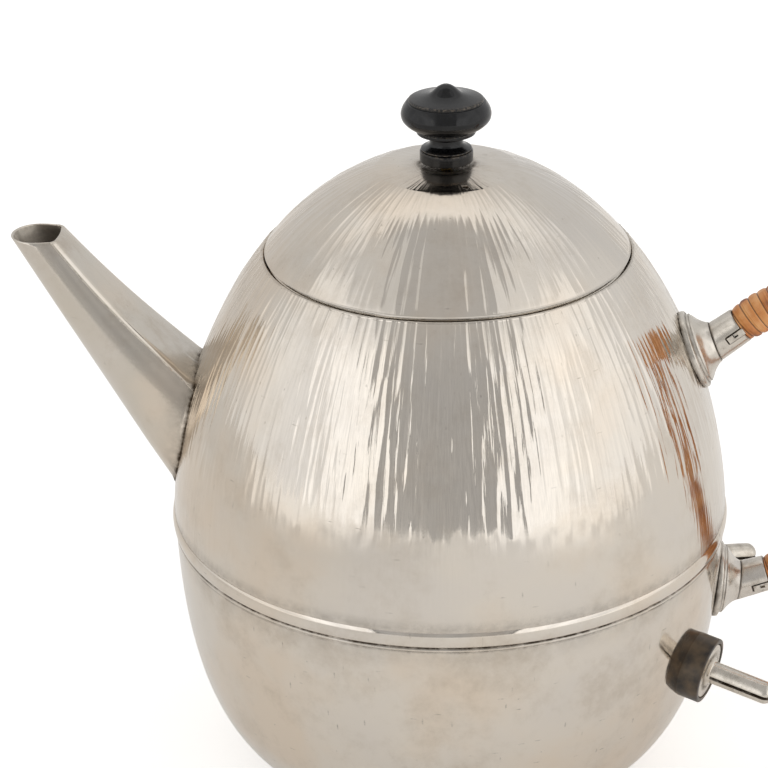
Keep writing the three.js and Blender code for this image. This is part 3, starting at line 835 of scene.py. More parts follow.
class Finishes:
    """Every finish on the kettle, made once."""

    def __init__(self) -> None:
        """Builds the materials."""
        self.vessel = NickelPlate(
            "nickel_plate_hammered", blotch=0.35, hairline=0.12, nicks=0.3, streaks=0.9
        ).material()
        self.casing = NickelPlate(
            "nickel_plate_spun", haze=(0.035, 0.15), blotch=0.5, hairline=0.35, nicks=0.5
        ).material()
        self.spout = NickelPlate(
            "nickel_plate_folded", "#d3cbbf", haze=(0.08, 0.2), blotch=0.6, nicks=0.35
        ).material()
        self.fittings = NickelPlate(
            "nickel_plate_turned", "#d6cfc4", "#8f8577", haze=(0.2, 0.32), blotch_mm=5, blotch=0.6, nicks=0.3
        ).material()
        self.tin = DullMetal("hot_tinned_copper", "#c9c6bf", "#9d9a94", (0.28, 0.5), 8.0).material()
        self.brass = DullMetal("turned_brass", "#c9ad6c", "#8e7440", (0.25, 0.45)).material()
        self.steel = DullMetal("mild_steel", "#a3a3a1", "#6f6d6a", (0.35, 0.6)).material()
        self.ebony = EbonisedWood().material()
        self.cane = RattanCane().material()
        self.fibre = Plain("vulcanised_fibre", "#5c4c38", "#231d19", 0.34, 4.5, relief_mm=0.05).material()
        self.mica = Plain(
            "mica_sheet", "#cdbf97", "#a8966a", 0.3, 5.0, (1.0, 1.0, 6.0), relief_mm=0.02, alpha=0.85
        ).material()
        self.sleeve = Plain("woven_glass_sleeve", "#ded8c8", "#b5ae9b", 0.85, 0.6).material()
        self.rod = Plain("bare_ash", "#a98a60", "#7d6241", 0.7, 1.5, (4.0, 4.0, 0.6)).material()

    def for_slot(self, slot: Slot) -> bpy.types.Material:
        """The finish of a CAD node that stays as it is."""
        return {
            Slot.NICKEL: self.fittings,
            Slot.TIN: self.tin,
            Slot.BRASS: self.brass,
            Slot.ROD: self.rod,
            Slot.CANE: self.cane,
            Slot.FIBRE: self.fibre,
            Slot.SLEEVE: self.sleeve,
            Slot.STEEL: self.steel,
            Slot.MICA: self.mica,
            Slot.EBONY: self.ebony,
        }[slot]


# ---------------------------------------------------------------- the kettle's shape


@dataclass(frozen=True)
class Egg:
    """The body's outer shape: radius = r (1 - (distance from the band / H)^p)^(1 / q), above and below it."""

    band: float = 78.0
    seam: float = 157.0
    upper: tuple[float, float, float, float] = (79.4, 106.1, 1.762, 2.06)
    lower: tuple[float, float, float, float] = (79.1, 78.0, 2.073, 6.028)
    crown_from: float = 180.6
    crown: float = 182.0

    def radius(self, z: np.ndarray) -> np.ndarray:
        """The outer radius, by the class's formula.

        Args:
            z: heights in millimetres.

        Returns:
            The radius at each height.
        """
        z = np.asarray(z, float)
        out = np.zeros_like(z)
        for side, (r, reach, p, q) in ((z >= self.band, self.upper), (z < self.band, self.lower)):
            share = np.clip(np.abs(z - self.band) / reach, 0, 1)
            out = np.where(side, r * (1 - share**p) ** (1 / q), out)
        return out

    def stretch(self, start: float, stop: float, count: int, inset: float = 0.0) -> np.ndarray:
        """Outline points between two heights, closer together where the wall leans, moved in by the inset."""
        z = start + (stop - start) * np.sin(np.pi / 2 * np.linspace(0, 1, count))
        return np.stack([self.radius(z) - inset, z], -1)

    def seat(self, points: np.ndarray, axis: np.ndarray, gap: float) -> np.ndarray:
        """Slides points along an axis until they lie on the body, by halving a stretch again and again.

        Args:
            points: (..., 3) in millimetres.
            axis: the unit vector to slide along, pointing away from the body.
            gap: how far outside the body they stop, measured along its radius.

        Returns:
            The points where they stop.
        """
        furthest = 30.0
        low = np.full(points.shape[:-1], -furthest)
        high = np.full(points.shape[:-1], furthest)
        for _ in range(HALVINGS):
            middle = (low + high) / 2
            at = points + middle[..., None] * axis
            inside = np.hypot(at[..., 0], at[..., 1]) < self.radius(at[..., 2]) + gap
            low = np.where(inside, middle, low)
            high = np.where(inside, high, middle)
        return points + high[..., None] * axis


EGG = Egg()


@dataclass
class Assembly:
    """What every sub-assembly shares: the finishes, and how a finished piece is dressed."""

    finishes: Finishes

    def dress(self, piece: Piece, body: Body, slot: Slot, finish: bpy.types.Material, *nodes: str) -> None:
        """Gives a piece its finish, lets it ride on its body and stand for its CAD nodes.

        Args:
            piece: the finished piece.
            body: what it moves with.
            slot: the record's slot that its finish belongs to; not used.
            finish: the material.
            nodes: the CAD nodes that it replaces.
        """
        piece.data.materials.clear()
        piece.data.materials.append(finish)
        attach(piece, body.value)
        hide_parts(*nodes)
        log.info("%s: %d faces on %s", piece.name, len(piece.data.polygons), body.value)

    def cut(self, piece: Piece, tools: list[Piece]) -> Piece:
        """Cuts closed tools out of a piece and removes them.

        Args:
            piece: the piece to cut.
            tools: the closed shapes to take away from it.

        Returns:
            The piece, with its mesh changed.
        """
        for tool in tools:
            carve = piece.modifiers.new("carve", "BOOLEAN")
            carve.operation = "DIFFERENCE"
            carve.solver = "EXACT"
            carve.object = tool
        bpy.context.view_layer.update()
        graph = bpy.context.evaluated_depsgraph_get()
        carved = bpy.data.meshes.new_from_object(piece.evaluated_get(graph))
        piece.modifiers.clear()
        piece.data = carved
        for tool in tools:
            bpy.data.objects.remove(tool)
        return piece

    def shade_hollow(self, piece: Piece, seat: Seat, middle: tuple[float, ...], reach: tuple[float, ...]) -> None:
        """Paints shade into a slot or hole: every point of the piece inside a box of the seat's own frame
        gets the darkest value of the grime and shade attribute.

        Args:
            piece: the piece to darken.
            seat: whose frame the box is in.
            middle: the box's middle in millimetres.
            reach: how far it reaches each way.
        """
        darkest_shade = 1.4
        mesh = piece.data
        count = len(mesh.vertices)
        points = np.empty(count * 3, np.float32)
        mesh.vertices.foreach_get("co", points)
        local = (points.reshape(-1, 3) / MM - np.array(seat.point)) @ seat.matrix().T
        in_hollow = np.all(np.abs(local - np.array(middle)) <= np.array(reach), axis=1)
        layer = mesh.attributes.get("grime_and_shade") or mesh.attributes.new("grime_and_shade", "FLOAT", "POINT")
        values = np.zeros(count, np.float32)
        layer.data.foreach_get("value", values)
        values[in_hollow] = darkest_shade
        layer.data.foreach_set("value", values)

    def tool(self, points: np.ndarray) -> Piece:
        """A closed cutting shape that is removed after use."""
        return surface("tool", points, False, {})


def block(size: tuple[float, float, float], centre: tuple[float, float, float]) -> np.ndarray:
    """A box as a grid: a bottom pole, two square rings and a top pole.

    Args:
        size: its three sides in millimetres.
        centre: its middle.

    Returns:
        An array (4, 4, 3).
    """
    half = np.array(size) / 2
    ring = np.array([[1, 1], [-1, 1], [-1, -1], [1, -1]], float) * half[:2]
    rows = []
    for scale, z in ((0, -1), (1, -1), (1, 1), (0, 1)):
        rows.append(np.column_stack([ring * scale, np.full(4, z * half[2])]))
    return np.array(rows) + np.array(centre)


@dataclass
class Vessel(Assembly):
    """The hammered upper body, the band, the mouth and the water pan."""

    wall: float = 1.0
    columns: int = 1280
    marks: PeenMarks = field(
        default_factory=lambda: PeenMarks(count=236, length=19.0, depth=0.3, seed=11)
    )
    marks_end: float = 104.5
    marks_offset: float = 40.0
    wall_run: float = 1.25
    ragged: tuple[float, float] = (1.5, 2.2)
    bead_r: float = 80.0
    bead_low: float = 74.6
    bead_high: float = 81.2

    def build(self) -> None:
        """Makes and dresses the pieces."""
        self.upper_body()
        self.band()
        self.mouth()
        self.pan()

    def upper_body(self) -> None:
        """The vessel's wall: the egg outline turned, with peen marks above a ragged line, slow waves below.

        The marks run along the wall, which is `wall_run` times as long as it is high where they end. Their
        end wavers by `ragged`: first a slow wave, then a step of its own for each column of dents.
        """
        foot = self.bead_high - 2.2
        smooth_to, marked_from = 97, 109
        heights = np.concatenate([
            np.linspace(foot, smooth_to, 8)[:-1],
            np.linspace(smooth_to, marked_from, 12)[:-1],
        ])
        outer = np.vstack([
            np.column_stack([EGG.radius(heights), heights]),
            EGG.stretch(marked_from, EGG.seam - 0.55, 42),
        ])
        lip_r, lip_z = outer[-1] - [0.5 * self.wall, 0]
        lip = arc((lip_r, lip_z), 0.5 * self.wall, 25, 160, 5)
        inner = EGG.stretch(foot, EGG.seam - 0.8, 6, self.wall)[::-1]
        section = np.vstack([outer, lip, inner])
        points = turned(section, self.columns)
        angle = np.arctan2(points[..., 1], points[..., 0])
        z = points[..., 2]
        run = (z - self.marks_end) * self.wall_run
        wavering, stepped = self.ragged
        end = self.marks_end + wavering * waves(angle, 0 * z, seed=5, count=24, finest=2.5)
        end += self.marks.stagger(angle, stepped)
        strength = smooth_step(-1.8, 3.0, z - end)
        relief = self.marks.height(angle, run + self.marks_offset) * strength
        relief += 0.055 * waves(angle, z, seed=23, count=18, finest=26.0) * (1 - 0.5 * strength)
        outside = np.zeros(len(section))
        outside[: len(outer)] = 1
        outside[len(outer) : len(outer) + len(lip)] = np.linspace(1, 0, len(lip))
        points = self.raised(points, relief * outside[:, None])
        # painted shade with grime: darker in the joint above the bead and a little up the wall, and along the
        # lip under the lid's edge
        grime_and_shade = 0.6 * bell(z, self.bead_high, 0.3) + 0.16 * bell(z, self.bead_high, 2.4)
        grime_and_shade += 0.25 * smooth_step(EGG.seam - 0.6, EGG.seam - 0.2, z)
        layers = {"grime_and_shade": grime_and_shade, "hammer": wrapped(angle, run * 0.07, EGG.upper[0])}
        piece = surface("upper_body_hammered", points, True, layers)
        self.dress(piece, Body.KETTLE, Slot.NICKEL, self.finishes.vessel, "upper_body")

    def raised(self, points: np.ndarray, height: np.ndarray) -> np.ndarray:
        """Moves points out along the outline's own normal, found from neighbouring rows.

        Args:
            points: an array (rows, columns, 3).
            height: how far each point moves.

        Returns:
            The moved points.
        """
        run = np.gradient(points, axis=0)
        out = np.hypot(points[..., 0], points[..., 1])[..., None]
        radial = np.concatenate([points[..., :2] / np.maximum(out, TINY), 0 * out], -1)
        rise = run[..., 2:3]
        spread = np.einsum("ijk,ijk->ij", run, radial)[..., None]
        length = np.maximum(np.hypot(rise, spread), TINY)
        up = np.array([0.0, 0.0, 1.0])
        normal = radial * rise / length - up * spread / length
        return points + normal * height[..., None]

    def band(self) -> None:
        """The moulding over the joint: a half-round bead with a fine quirk under it."""
        low, high, r = self.bead_low, self.bead_high, self.bead_r
        section = rounded(
            [
                (78.0, low),
                (r - 0.8, low, 0.25),
                (r - 0.5, low + 0.8, 0.3),
                (r - 1.05, low + 1.25, 0.15),
                (r - 0.35, low + 1.8, 0.5),
                (r, (low + high) / 2 + 0.4, 1.6),
                (r - 0.35, high - 1.1, 0.9),
                (r - 1.2, high, 0.2),
                (78.0, high),
            ],
            closed=True,
        )
        points = turned(section, 512)
        angle = np.arctan2(points[..., 1], points[..., 0])
        unround = 1 + 0.0005 * waves(angle, 0 * angle, seed=31, count=12, finest=30.0)
        points *= unround[..., None] * [1, 1, 0] + [0, 0, 1]
        z = points[..., 2]
        # painted shade with grime in the quirk under the bead, and at the bead's top and bottom edges
        grime_and_shade = 1.2 * bell(z, low + 1.25, 0.34) + 0.3 * bell(z, high, 0.25) + 0.9 * bell(z, low, 0.3)
        piece = surface("band_moulding_bead", points, True, {"grime_and_shade": grime_and_shade})
        self.dress(piece, Body.KETTLE, Slot.NICKEL, self.finishes.casing, "band_moulding")

    def mouth(self) -> None:
        """The turned ring in the mouth: a flat ledge for the lid's edge and a collar below it."""
        top = EGG.seam - 0.3
        outer = float(EGG.radius(np.array(top))) - self.wall - 0.1
        section = rounded(
            [
                (45.2, top - 9, 0.2), (46.1, top - 9, 0.2), (46.1, top - 1.3, 0.3),
                (outer - 0.3, top - 1.3, 0.2), (outer - 0.1, top - 0.6, 0.2), (outer - 0.8, top, 0.2),
                (45.2, top, 0.3),
            ],
            closed=True,
        )
        piece = surface("mouth_ring_turned", turned(section, 256), True, {})
        self.dress(piece, Body.KETTLE, Slot.NICKEL, self.finishes.fittings, "mouth_ring")

    def pan(self) -> None:
        """The tinned pan that closes the vessel: a flat floor, a round corner and a rim up the wall."""
        section = rounded(
            [
                (0, 56), (72, 56, 8.0), (72.3, 66), (76.4, 78, 3.0), (76.4, 88),
                (75.5, 88), (75.5, 78.2, 3.0), (71.4, 66.2), (71.1, 56.9, 7.2), (0, 56.9),
            ],
            closed=False,
            steps=8,
        )
        piece = surface("vessel_pan_tinned", turned(section, 192), False, {})
        self.dress(piece, Body.KETTLE, Slot.TIN, self.finishes.tin, "vessel_pan", "pan_floor")


@dataclass
class Casing(Assembly):
    """The smooth casing under the band, its foot, cover and screws."""

    wall: float = 1.0
    columns: int = 512
    top_z: float = 75.6
    foot_z: float = 1.7
    cover_r: float = 41.6
    cover_gap: float = 0.35
    screw_r: float = 34.0

    def build(self) -> None:
        """Makes and dresses the pieces."""
        self.lower_casing()
        self.cover()

    def lower_casing(self) -> None:
        """The casing outline turned down to a flat foot, with slow dents from use."""
        outer = EGG.stretch(self.top_z, self.foot_z, 70)
        corner = outer[-1]
        opening = self.cover_r + self.cover_gap
        foot = rounded(
            [
                tuple(corner), (corner[0] - 1.6, 0.35, 1.5), (corner[0] - 3, 0.0, 0.8),
                (opening, 0, 0.2), (opening, 0.9, 0.2), (corner[0] - 2.6, 1.0, 0.6),
            ],
            closed=False,
        )[1:]
        inner = EGG.stretch(self.top_z, 3.4, 24, self.wall)[::-1]
        section = np.vstack([outer, foot, inner])
        points = turned(section, self.columns)
        angle = np.arctan2(points[..., 1], points[..., 0])
        z = points[..., 2]
        relief = 0.07 * waves(angle, z, seed=41, count=22, finest=34.0)
        relief += 0.012 * waves(angle, z, seed=43, count=16, finest=9.0)
        row = np.arange(len(outer))
        outside = np.zeros(len(section))
        outside[: len(outer)] = smooth_step(0, 12, row) * smooth_step(0, 14, row[::-1])
        spread = np.hypot(points[..., 0], points[..., 1])
        points = points * (1 + (relief * outside[:, None] / np.maximum(spread, 1))[..., None] * [1, 1, 0])
        # painted shade with grime: darker under the band, fading down to 68 mm, and round the foot
        grime_and_shade = 0.9 * smooth_step(74.0, 75.2, z) + 0.16 * smooth_step(68, 75, z) + 0.3 * bell(z, 0.0, 2.5)
        piece = surface("lower_casing_spun", points, True, {"grime_and_shade": grime_and_shade})
        self.dress(piece, Body.KETTLE, Slot.NICKEL, self.finishes.casing, "lower_casing")

    def cover(self) -> None:
        """The flat cover under the foot, and three countersunk screws in it."""
        section = rounded([(0, 0), (self.cover_r, 0, 0.25), (self.cover_r, 1.2, 0.25), (0, 1.2)], False)
        cover = surface("base_cover_disc", turned(dense(section, 3), 96), False, {})
        seats = []
        for number in range(3):
            a = np.radians(60 + 120 * number)
            x, y = self.screw_r * np.cos(a), self.screw_r * np.sin(a)
            seat = np.array([(0, -0.5), (3.7, -0.5), (3.3, 0.05), (1.5, 1.25), (1.5, 2), (0, 2)])
            seats.append(self.tool(turned(seat, 40) + [x, y, 0]))
            self.screw(number + 1, x, y)
        self.dress(self.cut(cover, seats), Body.KETTLE, Slot.NICKEL, self.finishes.casing, "base_cover")

    def screw(self, number: int, x: float, y: float) -> None:
        """One countersunk screw: a slotted cone head and a shank.

        Args:
            number: which of the three.
            x: where it stands.
            y: where it stands.
        """
        section = rounded([(0, 0.1), (2.75, 0.15, 0.2), (1.25, 1.35, 0.1), (1.25, 6), (0, 6)], False)
        screw = surface(f"cover_screw_{number}_slotted", turned(section, 32) + [x, y, 0], False, {})
        slot = self.tool(block((8, 0.8, 1.0), (x, y, 0.1)))
        screw = self.cut(screw, [slot])
        self.dress(screw, Body.KETTLE, Slot.NICKEL, self.finishes.fittings, f"cover_screw_{number}")


@dataclass
class Spout(Assembly):
    """The straight spout: level sections with a round nose and a flat back, from the tip down to the body."""

    tip_z: float = 160.3
    nose_z: float = 84.6
    back_z: float = 120.0
    nose: tuple[float, float] = (-122.0, -79.0)
    back: tuple[float, float] = (-107.9, -71.0)
    width: tuple[float, float] = (15.2, 35.0)
    flat: tuple[float, float] = (12.8, 23.4)
    wall: float = 0.65
    sunk: float = 0.3
    crease: float = 1.7
    sag: float = 1.5
    crown: float = 0.35
    around: int = 72
    nose_ends: float = 0.42
    side_ends: float = 0.72
    corner_ends: float = 0.8

    def section(self, z: np.ndarray, inset: float) -> np.ndarray:
        """Level sections of the spout.

        From the middle of the nose: half an ellipse, then on each side a curve to the flat back's corner, the
        corner rounded, and the back, a little crowned. Each ends at its own share of half the way round.
        Every measure runs in a straight line from tip to foot, apart from the back, which sags, and the
        width, which stops growing at four fifths of the way to the nose's foot.

        Args:
            z: (rows, columns) heights, with the columns placed round the section.
            inset: how far inside the outer surface.

        Returns:
            (rows, columns, 3) points.
        """
        to_nose = (self.tip_z - z) / (self.tip_z - self.nose_z)
        to_back = (self.tip_z - z) / (self.tip_z - self.back_z)
        sag = self.sag * np.sin(np.pi * np.clip(to_back, 0, 1))
        nose = self.nose[0] + (self.nose[1] - self.nose[0]) * to_nose + 1.15 * inset
        back = self.back[0] + (self.back[1] - self.back[0]) * to_back - sag - 1.4 * inset
        half = (self.width[0] + (self.width[1] - self.width[0]) * np.clip(1.25 * to_nose, 0, 1)) / 2 - inset
        flat = (self.flat[0] + (self.flat[1] - self.flat[0]) * to_back) / 2 - inset
        flat = np.minimum(flat, 0.9 * half)
        middle = nose + (back - nose) * 0.52
        side = np.concatenate([np.ones(self.around), -np.ones(self.around)])
        share = np.concatenate([np.linspace(0, 1, self.around), np.linspace(1, 0, self.around)])
        bend = np.clip(share / self.nose_ends, 0, 1) * np.pi / 2
        x = middle - (middle - nose) * np.cos(bend)
        y = half * np.sin(bend)
        # the side: a quadratic curve from (middle, half) by way of a shoulder to the corner
        t = np.clip((share - self.nose_ends) / (self.side_ends - self.nose_ends), 0, 1)
        shoulder_x, shoulder_y = middle + (back - middle) * 0.62, half * 0.99
        x = x * (t == 0) + (t > 0) * ((1 - t) ** 2 * middle + 2 * t * (1 - t) * shoulder_x + t**2 * back)
        y = y * (t == 0) + (t > 0) * ((1 - t) ** 2 * half + 2 * t * (1 - t) * shoulder_y + t**2 * flat)
        # the corner: cut off on a small curve
        radius = self.crease
        run_x, run_y = back - shoulder_x, flat - shoulder_y
        length = np.hypot(run_x, run_y)
        before_x, before_y = back - run_x / length * radius, flat - run_y / length * radius
        after_y = flat - radius
        c = np.clip((share - self.side_ends) / (self.corner_ends - self.side_ends), 0, 1)
        corner_x = (1 - c) ** 2 * before_x + 2 * c * (1 - c) * back + c**2 * back
        corner_y = (1 - c) ** 2 * before_y + 2 * c * (1 - c) * flat + c**2 * after_y
        near = (t > 0) & (np.hypot(x - back, y - flat) < radius)
        x = np.where(c > 0, corner_x, np.where(near, before_x, x))
        y = np.where(c > 0, corner_y, np.where(near, before_y, y))
        # the back: straight across, and crowned a little towards its middle
        b = np.clip((share - self.corner_ends) / (1 - self.corner_ends), 0, 1)
        y = np.where(b > 0, after_y * (1 - b), y)
        x = np.where(b > 0, back + self.crown * (1 - (1 - b) ** 2), x)
        return np.stack([x, y * side, z + 0 * x], -1)

    def foot(self, inset: float) -> np.ndarray:
        """Where each column of the spout meets the body, by halving a stretch of height again and again.

        Args:
            inset: how far inside the outer surface.

        Returns:
            An array (1, columns) of heights.
        """
        low = np.full((1, 2 * self.around), self.nose_z - 12)
        high = np.full((1, 2 * self.around), self.tip_z)
        for _ in range(HALVINGS):
            middle = (low + high) / 2
            at = self.section(middle, inset)
            outside = np.hypot(at[..., 0], at[..., 1]) > EGG.radius(at[..., 2]) - self.sunk
            outside &= at[..., 0] < 0
            high = np.where(outside, middle, high)
            low = np.where(outside, low, middle)
        return high

    def build(self) -> None:
        """Makes and dresses the spout: outside, rounded lip and bore, joined at the foot."""
        down = np.linspace(0, 1, 90)[:, None]
        lip = self.wall / 2
        outer_z = self.tip_z - lip - (self.tip_z - lip - self.foot(0.0)) * down
        inner_z = self.tip_z - lip - (self.tip_z - lip - self.foot(self.wall)) * down[::3]
        outer = self.section(outer_z, 0.0)
        inner = self.section(inner_z, self.wall)
        above = outer_z - outer_z[-1:]
        fillet = 0.5 * (1 - smooth_step(0.0, 2.0, above))
        centre = outer.mean(axis=1, keepdims=True)
        away = (outer - centre) * [1, 1, 0]
        away /= np.maximum(np.linalg.norm(away, axis=-1, keepdims=True), TINY)
        outer = outer + away * fillet[..., None]
        rim = []
        for a in np.radians([30, 60, 90, 120, 150]):
            inset = lip * (1 - np.cos(a))
            z = np.full((1, 2 * self.around), self.tip_z - lip + lip * np.sin(a))
            rim.append(self.section(z, inset))
        points = np.vstack([inner[::-1], *rim[::-1], outer])
        # painted shade: darker at the foot where the spout meets the body, and all through the bore
        grime_and_shade = np.zeros(points.shape[:2])
        grime_and_shade[-len(outer) :] = bell(above, 0.0, 1.1) + 0.3 * bell(above, 0.0, 6.0)
        grime_and_shade[: len(inner)] = 0.4
        etched = np.zeros(points.shape[:2])
        etched[: len(inner)] = 0.55
        piece = surface("spout_tapered", points, True, {"grime_and_shade": grime_and_shade, "etched": etched})
        self.dress(piece, Body.KETTLE, Slot.NICKEL, self.finishes.spout, "spout")


class Root(Enum):
    """The two ends of the handle."""

    UPPER = "upper"
    LOWER = "lower"


@dataclass(frozen=True)
class HandleRoot:
    """Where one end of the handle stands on the body, and which way its grip sets out.

    The height, the tilts of socket and grip in degrees, the flange's radius, and how far the key stands to
    one side of the ferrule's middle, in millimetres.
    """

    z: float
    tilt: float
    grip: float
    flange: float
    seam: float

    def seat(self) -> Seat:
        """The socket's seat on the body."""
        return Seat((float(EGG.radius(np.array(self.z))), 0.0, self.z), 0.0, self.tilt)

    def grip_seat(self, socket_length: float) -> Seat:
        """The grip's seat, on the end of a socket of that length."""
        end = self.seat().place(np.array([0.0, 0.0, socket_length]))
        return Seat(tuple(end), 0.0, self.grip)


@dataclass
class Handle(Assembly):
    """Two turned sockets, two slotted ferrules with keys, and the cane-bound grip between them."""

    roots: dict[Root, HandleRoot] = field(
        default_factory=lambda: {
            Root.UPPER: HandleRoot(z=126.95, tilt=22.5, grip=38.0, flange=11.25, seam=0.0),
            Root.LOWER: HandleRoot(z=53.7, tilt=-5.0, grip=19.0, flange=11.1, seam=1.2),
        }
    )
    socket_length: float = 6.5
    ferrule_r: float = 5.4
    ferrule_length: float = 8.6
    reach: float = 66.0
    cane_end: float = 4.85
    cane_middle: float = 6.7
    strip: float = 2.65
    crown: float = 0.42
    uneven: float = 0.09
    first_turn: float = 0.35
    rows: int = 1040
    around: int = 40

    def build(self) -> None:
        """Makes and dresses the pieces."""
        for root, where in self.roots.items():
            self.socket(root, where)
            self.ferrule(root, where)
        self.cane()

    def socket(self, root: Root, where: HandleRoot) -> None:
        """A turned boss: a flange fitted to the body, a ring, and a hollow-sided cone up to the ferrule.

        Args:
            root: which end of the handle.
            where: how it stands.
        """
        edge, top, columns = where.flange, self.socket_length, 128
        section = rounded(
            [
                (0, 0), (edge, 0, 0.1), (edge, 0.95, 0.35), (edge - 1.0, 1.35, 0.25), (edge - 1.15, 1.2, 0.1),
                (edge - 1.35, 1.9, 0.25), (9.9, 2.2, 0.3), (9.75, 2.05, 0.1), (9.4, 2.6, 0.4),
                (7.6, 3.9, 1.5), (6.3, 5.4, 1.2), (5.9, 6.2, 0.3), (5.75, top, 0.15), (0, top),
            ],
            closed=False,
        )
        section = dense(section, 0.8)
        height = section[:, 1]
        seat = where.seat()
        flat = seat.place(turned(section * [1, 0], columns))
        on_body = EGG.seat(flat, seat.axis(), 0.12)
        weight = (1 - smooth_step(0.0, 1.1, height))[:, None, None]
        points = seat.place(turned(section, columns)) + (on_body - flat) * weight
        # painted shade with grime in the creases: where the flange meets the body, in the ring's two steps,
        # and at the top under the ferrule
        grime_and_shade = 0.9 * bell(height, 0.0, 0.3) + 0.8 * bell(height, 1.25, 0.12) + 0.7 * bell(height, 2.1, 0.14)
        grime_and_shade += 0.6 * smooth_step(6.2, 6.5, height)
        layer = np.repeat(grime_and_shade[:, None], columns, axis=1)
        piece = surface(f"{root.value}_socket_turned", points, False, {"grime_and_shade": layer})
        self.dress(piece, Body.KETTLE, Slot.NICKEL, self.finishes.fittings, f"{root.value}_socket")

    def ferrule(self, root: Root, where: HandleRoot) -> None:
        """A sleeve, mitred to the socket's face, with a slot at its outer end that a flat key closes.

        Args:
            root: which end of the handle.
            where: how it stands.
        """
        seat = where.grip_seat(self.socket_length + 0.1)
        r, length, bore, columns = self.ferrule_r, self.ferrule_length, 4.5, 96
        section = rounded(
            [
                (bore, 0), (r - 0.1, 0, 0.15), (r, 0.4, 0.2), (r - 0.25, length - 0.3, 0.15),
                (r - 0.45, length, 0.1), (bore, length, 0.1),
            ],
            closed=True,
        )
        section = dense(np.vstack([section, section[:1]]), 0.7)[:-1]
        height = section[:, 1]
        local = turned(section, columns)
        # the sleeve's lower end follows the socket's tilted face: each point slides along the sleeve's axis
        slant = np.radians(where.grip - where.tilt)
        start = -local[..., 0] * np.tan(slant)
        local[..., 2] += start * (1 - smooth_step(0.0, 5.0, local[..., 2]))
        # painted shade at the ferrule's two ends, against the socket and the cane
        grime_and_shade = 0.5 * bell(height, 0.0, 0.4) + 0.4 * smooth_step(length - 0.5, length, height)
        layer = np.repeat(grime_and_shade[:, None], columns, axis=1)
        sleeve = surface(f"{root.value}_ferrule_slotted", seat.place(local), True, {"grime_and_shade": layer})
        opening = self.tool(seat.place(block((2.2, 4.0, 5.6), (where.seam, -r, length - 2.2))))
        sleeve = self.cut(sleeve, [opening])
        # painted shade fills the slot round the key
        self.shade_hollow(sleeve, seat, (where.seam, -r + 0.5, length - 2.2), (1.15, 0.45, 2.85))
        self.dress(sleeve, Body.KETTLE, Slot.NICKEL, self.finishes.fittings, f"{root.value}_ferrule")
        self.key(root, where, seat)

    def key(self, root: Root, where: HandleRoot, seat: Seat) -> None:
        """The flat key in the ferrule's seam: two lands with a notch between them painted dark as shade,
        edges bevelled.

        Args:
            root: which end of the handle.
            where: how it stands.
            seat: the ferrule's seat.
        """
        side, length = -self.ferrule_r, self.ferrule_length
        bar = block((1.9, 1.3, 5.3), (where.seam, side + 0.4, length - 2.05))
        key = surface(f"{root.value}_ferrule_key_flat", seat.place(bar), False, {})
        notch = self.tool(seat.place(block((1.4, 1.8, 1.3), (where.seam - 0.45, side, length - 2.1))))
        key = self.cut(key, [notch])
        # painted shade fills the notch
        self.shade_hollow(key, seat, (where.seam - 0.3, side + 0.2, length - 2.1), (0.7, 0.4, 0.8))
        bevel = key.modifiers.new("edges", "BEVEL")
        bevel.width = 0.1 * MM
        bevel.segments = 2
        self.dress(key, Body.KETTLE, Slot.NICKEL, self.finishes.fittings, f"{root.value}_ferrule_key")

    def path(self, count: int) -> tuple[np.ndarray, np.ndarray, float]:
        """The grip's centre line, a cubic curve from ferrule to ferrule, at even steps.

        Args:
            count: how many points.

        Returns:
            Points (count, 3), unit tangents (count, 3) and the length.
        """
        ends = []
        for root in (Root.UPPER, Root.LOWER):
            seat = self.roots[root].grip_seat(self.socket_length + 0.3)
            start = seat.place(np.array([0.0, 0.0, self.ferrule_length]))
            ends.append((start, start + seat.axis() * self.reach))
        p0, p1, p2, p3 = ends[0][0], ends[0][1], ends[1][1], ends[1][0]
        t = np.linspace(0, 1, 2000)[:, None]
        fine = (1 - t) ** 3 * p0 + 3 * t * (1 - t) ** 2 * p1 + 3 * t**2 * (1 - t) * p2 + t**3 * p3
        run = np.concatenate([[0], np.cumsum(np.linalg.norm(np.diff(fine, axis=0), axis=1))])
        even = np.linspace(0, run[-1], count)
        points = np.stack([np.interp(even, run, fine[:, i]) for i in range(3)], -1)
        tangent = np.gradient(points, axis=0)
        tangent /= np.linalg.norm(tangent, axis=1)[:, None]
        return points, tangent, float(run[-1])

    def cane(self) -> None:
        """The winding: a tube whose radius swells and dips with each turn of the strip.

        Radius = grip + crown x (1 - |2f - 1|^3.2) where f is the place across the strip, the fraction of
        (run / strip + angle / 360). Each turn stands a little higher or lower than the next, and the first
        and last are drawn in by `first_turn`.
        """
        centre, tangent, length = self.path(self.rows)
        angle = np.arange(self.around) * TURN / self.around
        run = np.linspace(0, length, self.rows)[:, None]
        turn = run / self.strip + angle / TURN
        across = np.mod(turn, 1)
        draw = np.random.default_rng(7)
        lift = draw.uniform(-self.uneven, self.uneven, 80)[np.floor(turn).astype(int) % 80]
        ridge = 1 - np.abs(2 * across - 1) ** 3.2
        swell = np.sin(np.pi * np.linspace(0, 1, self.rows)[:, None]) ** 0.9
        grip = self.cane_end + (self.cane_middle - self.cane_end) * swell
        drawn_in = 2 - smooth_step(0, 2.8, run) - smooth_step(0, 2.8, length - run)
        radius = grip + (self.crown + lift) * ridge - self.first_turn * drawn_in
        side = np.array([0.0, 1.0, 0.0])
        out = np.cross(tangent, side)
        points = centre[:, None] + radius[..., None] * (
            out[:, None] * np.cos(angle)[:, None] + side * np.sin(angle)[:, None]
        )
        caps = [np.repeat(centre[i][None, None], self.around, 1) for i in (0, -1)]
        points = np.vstack([caps[0], points, caps[1]])
        pad = [(1, 1), (0, 0)]
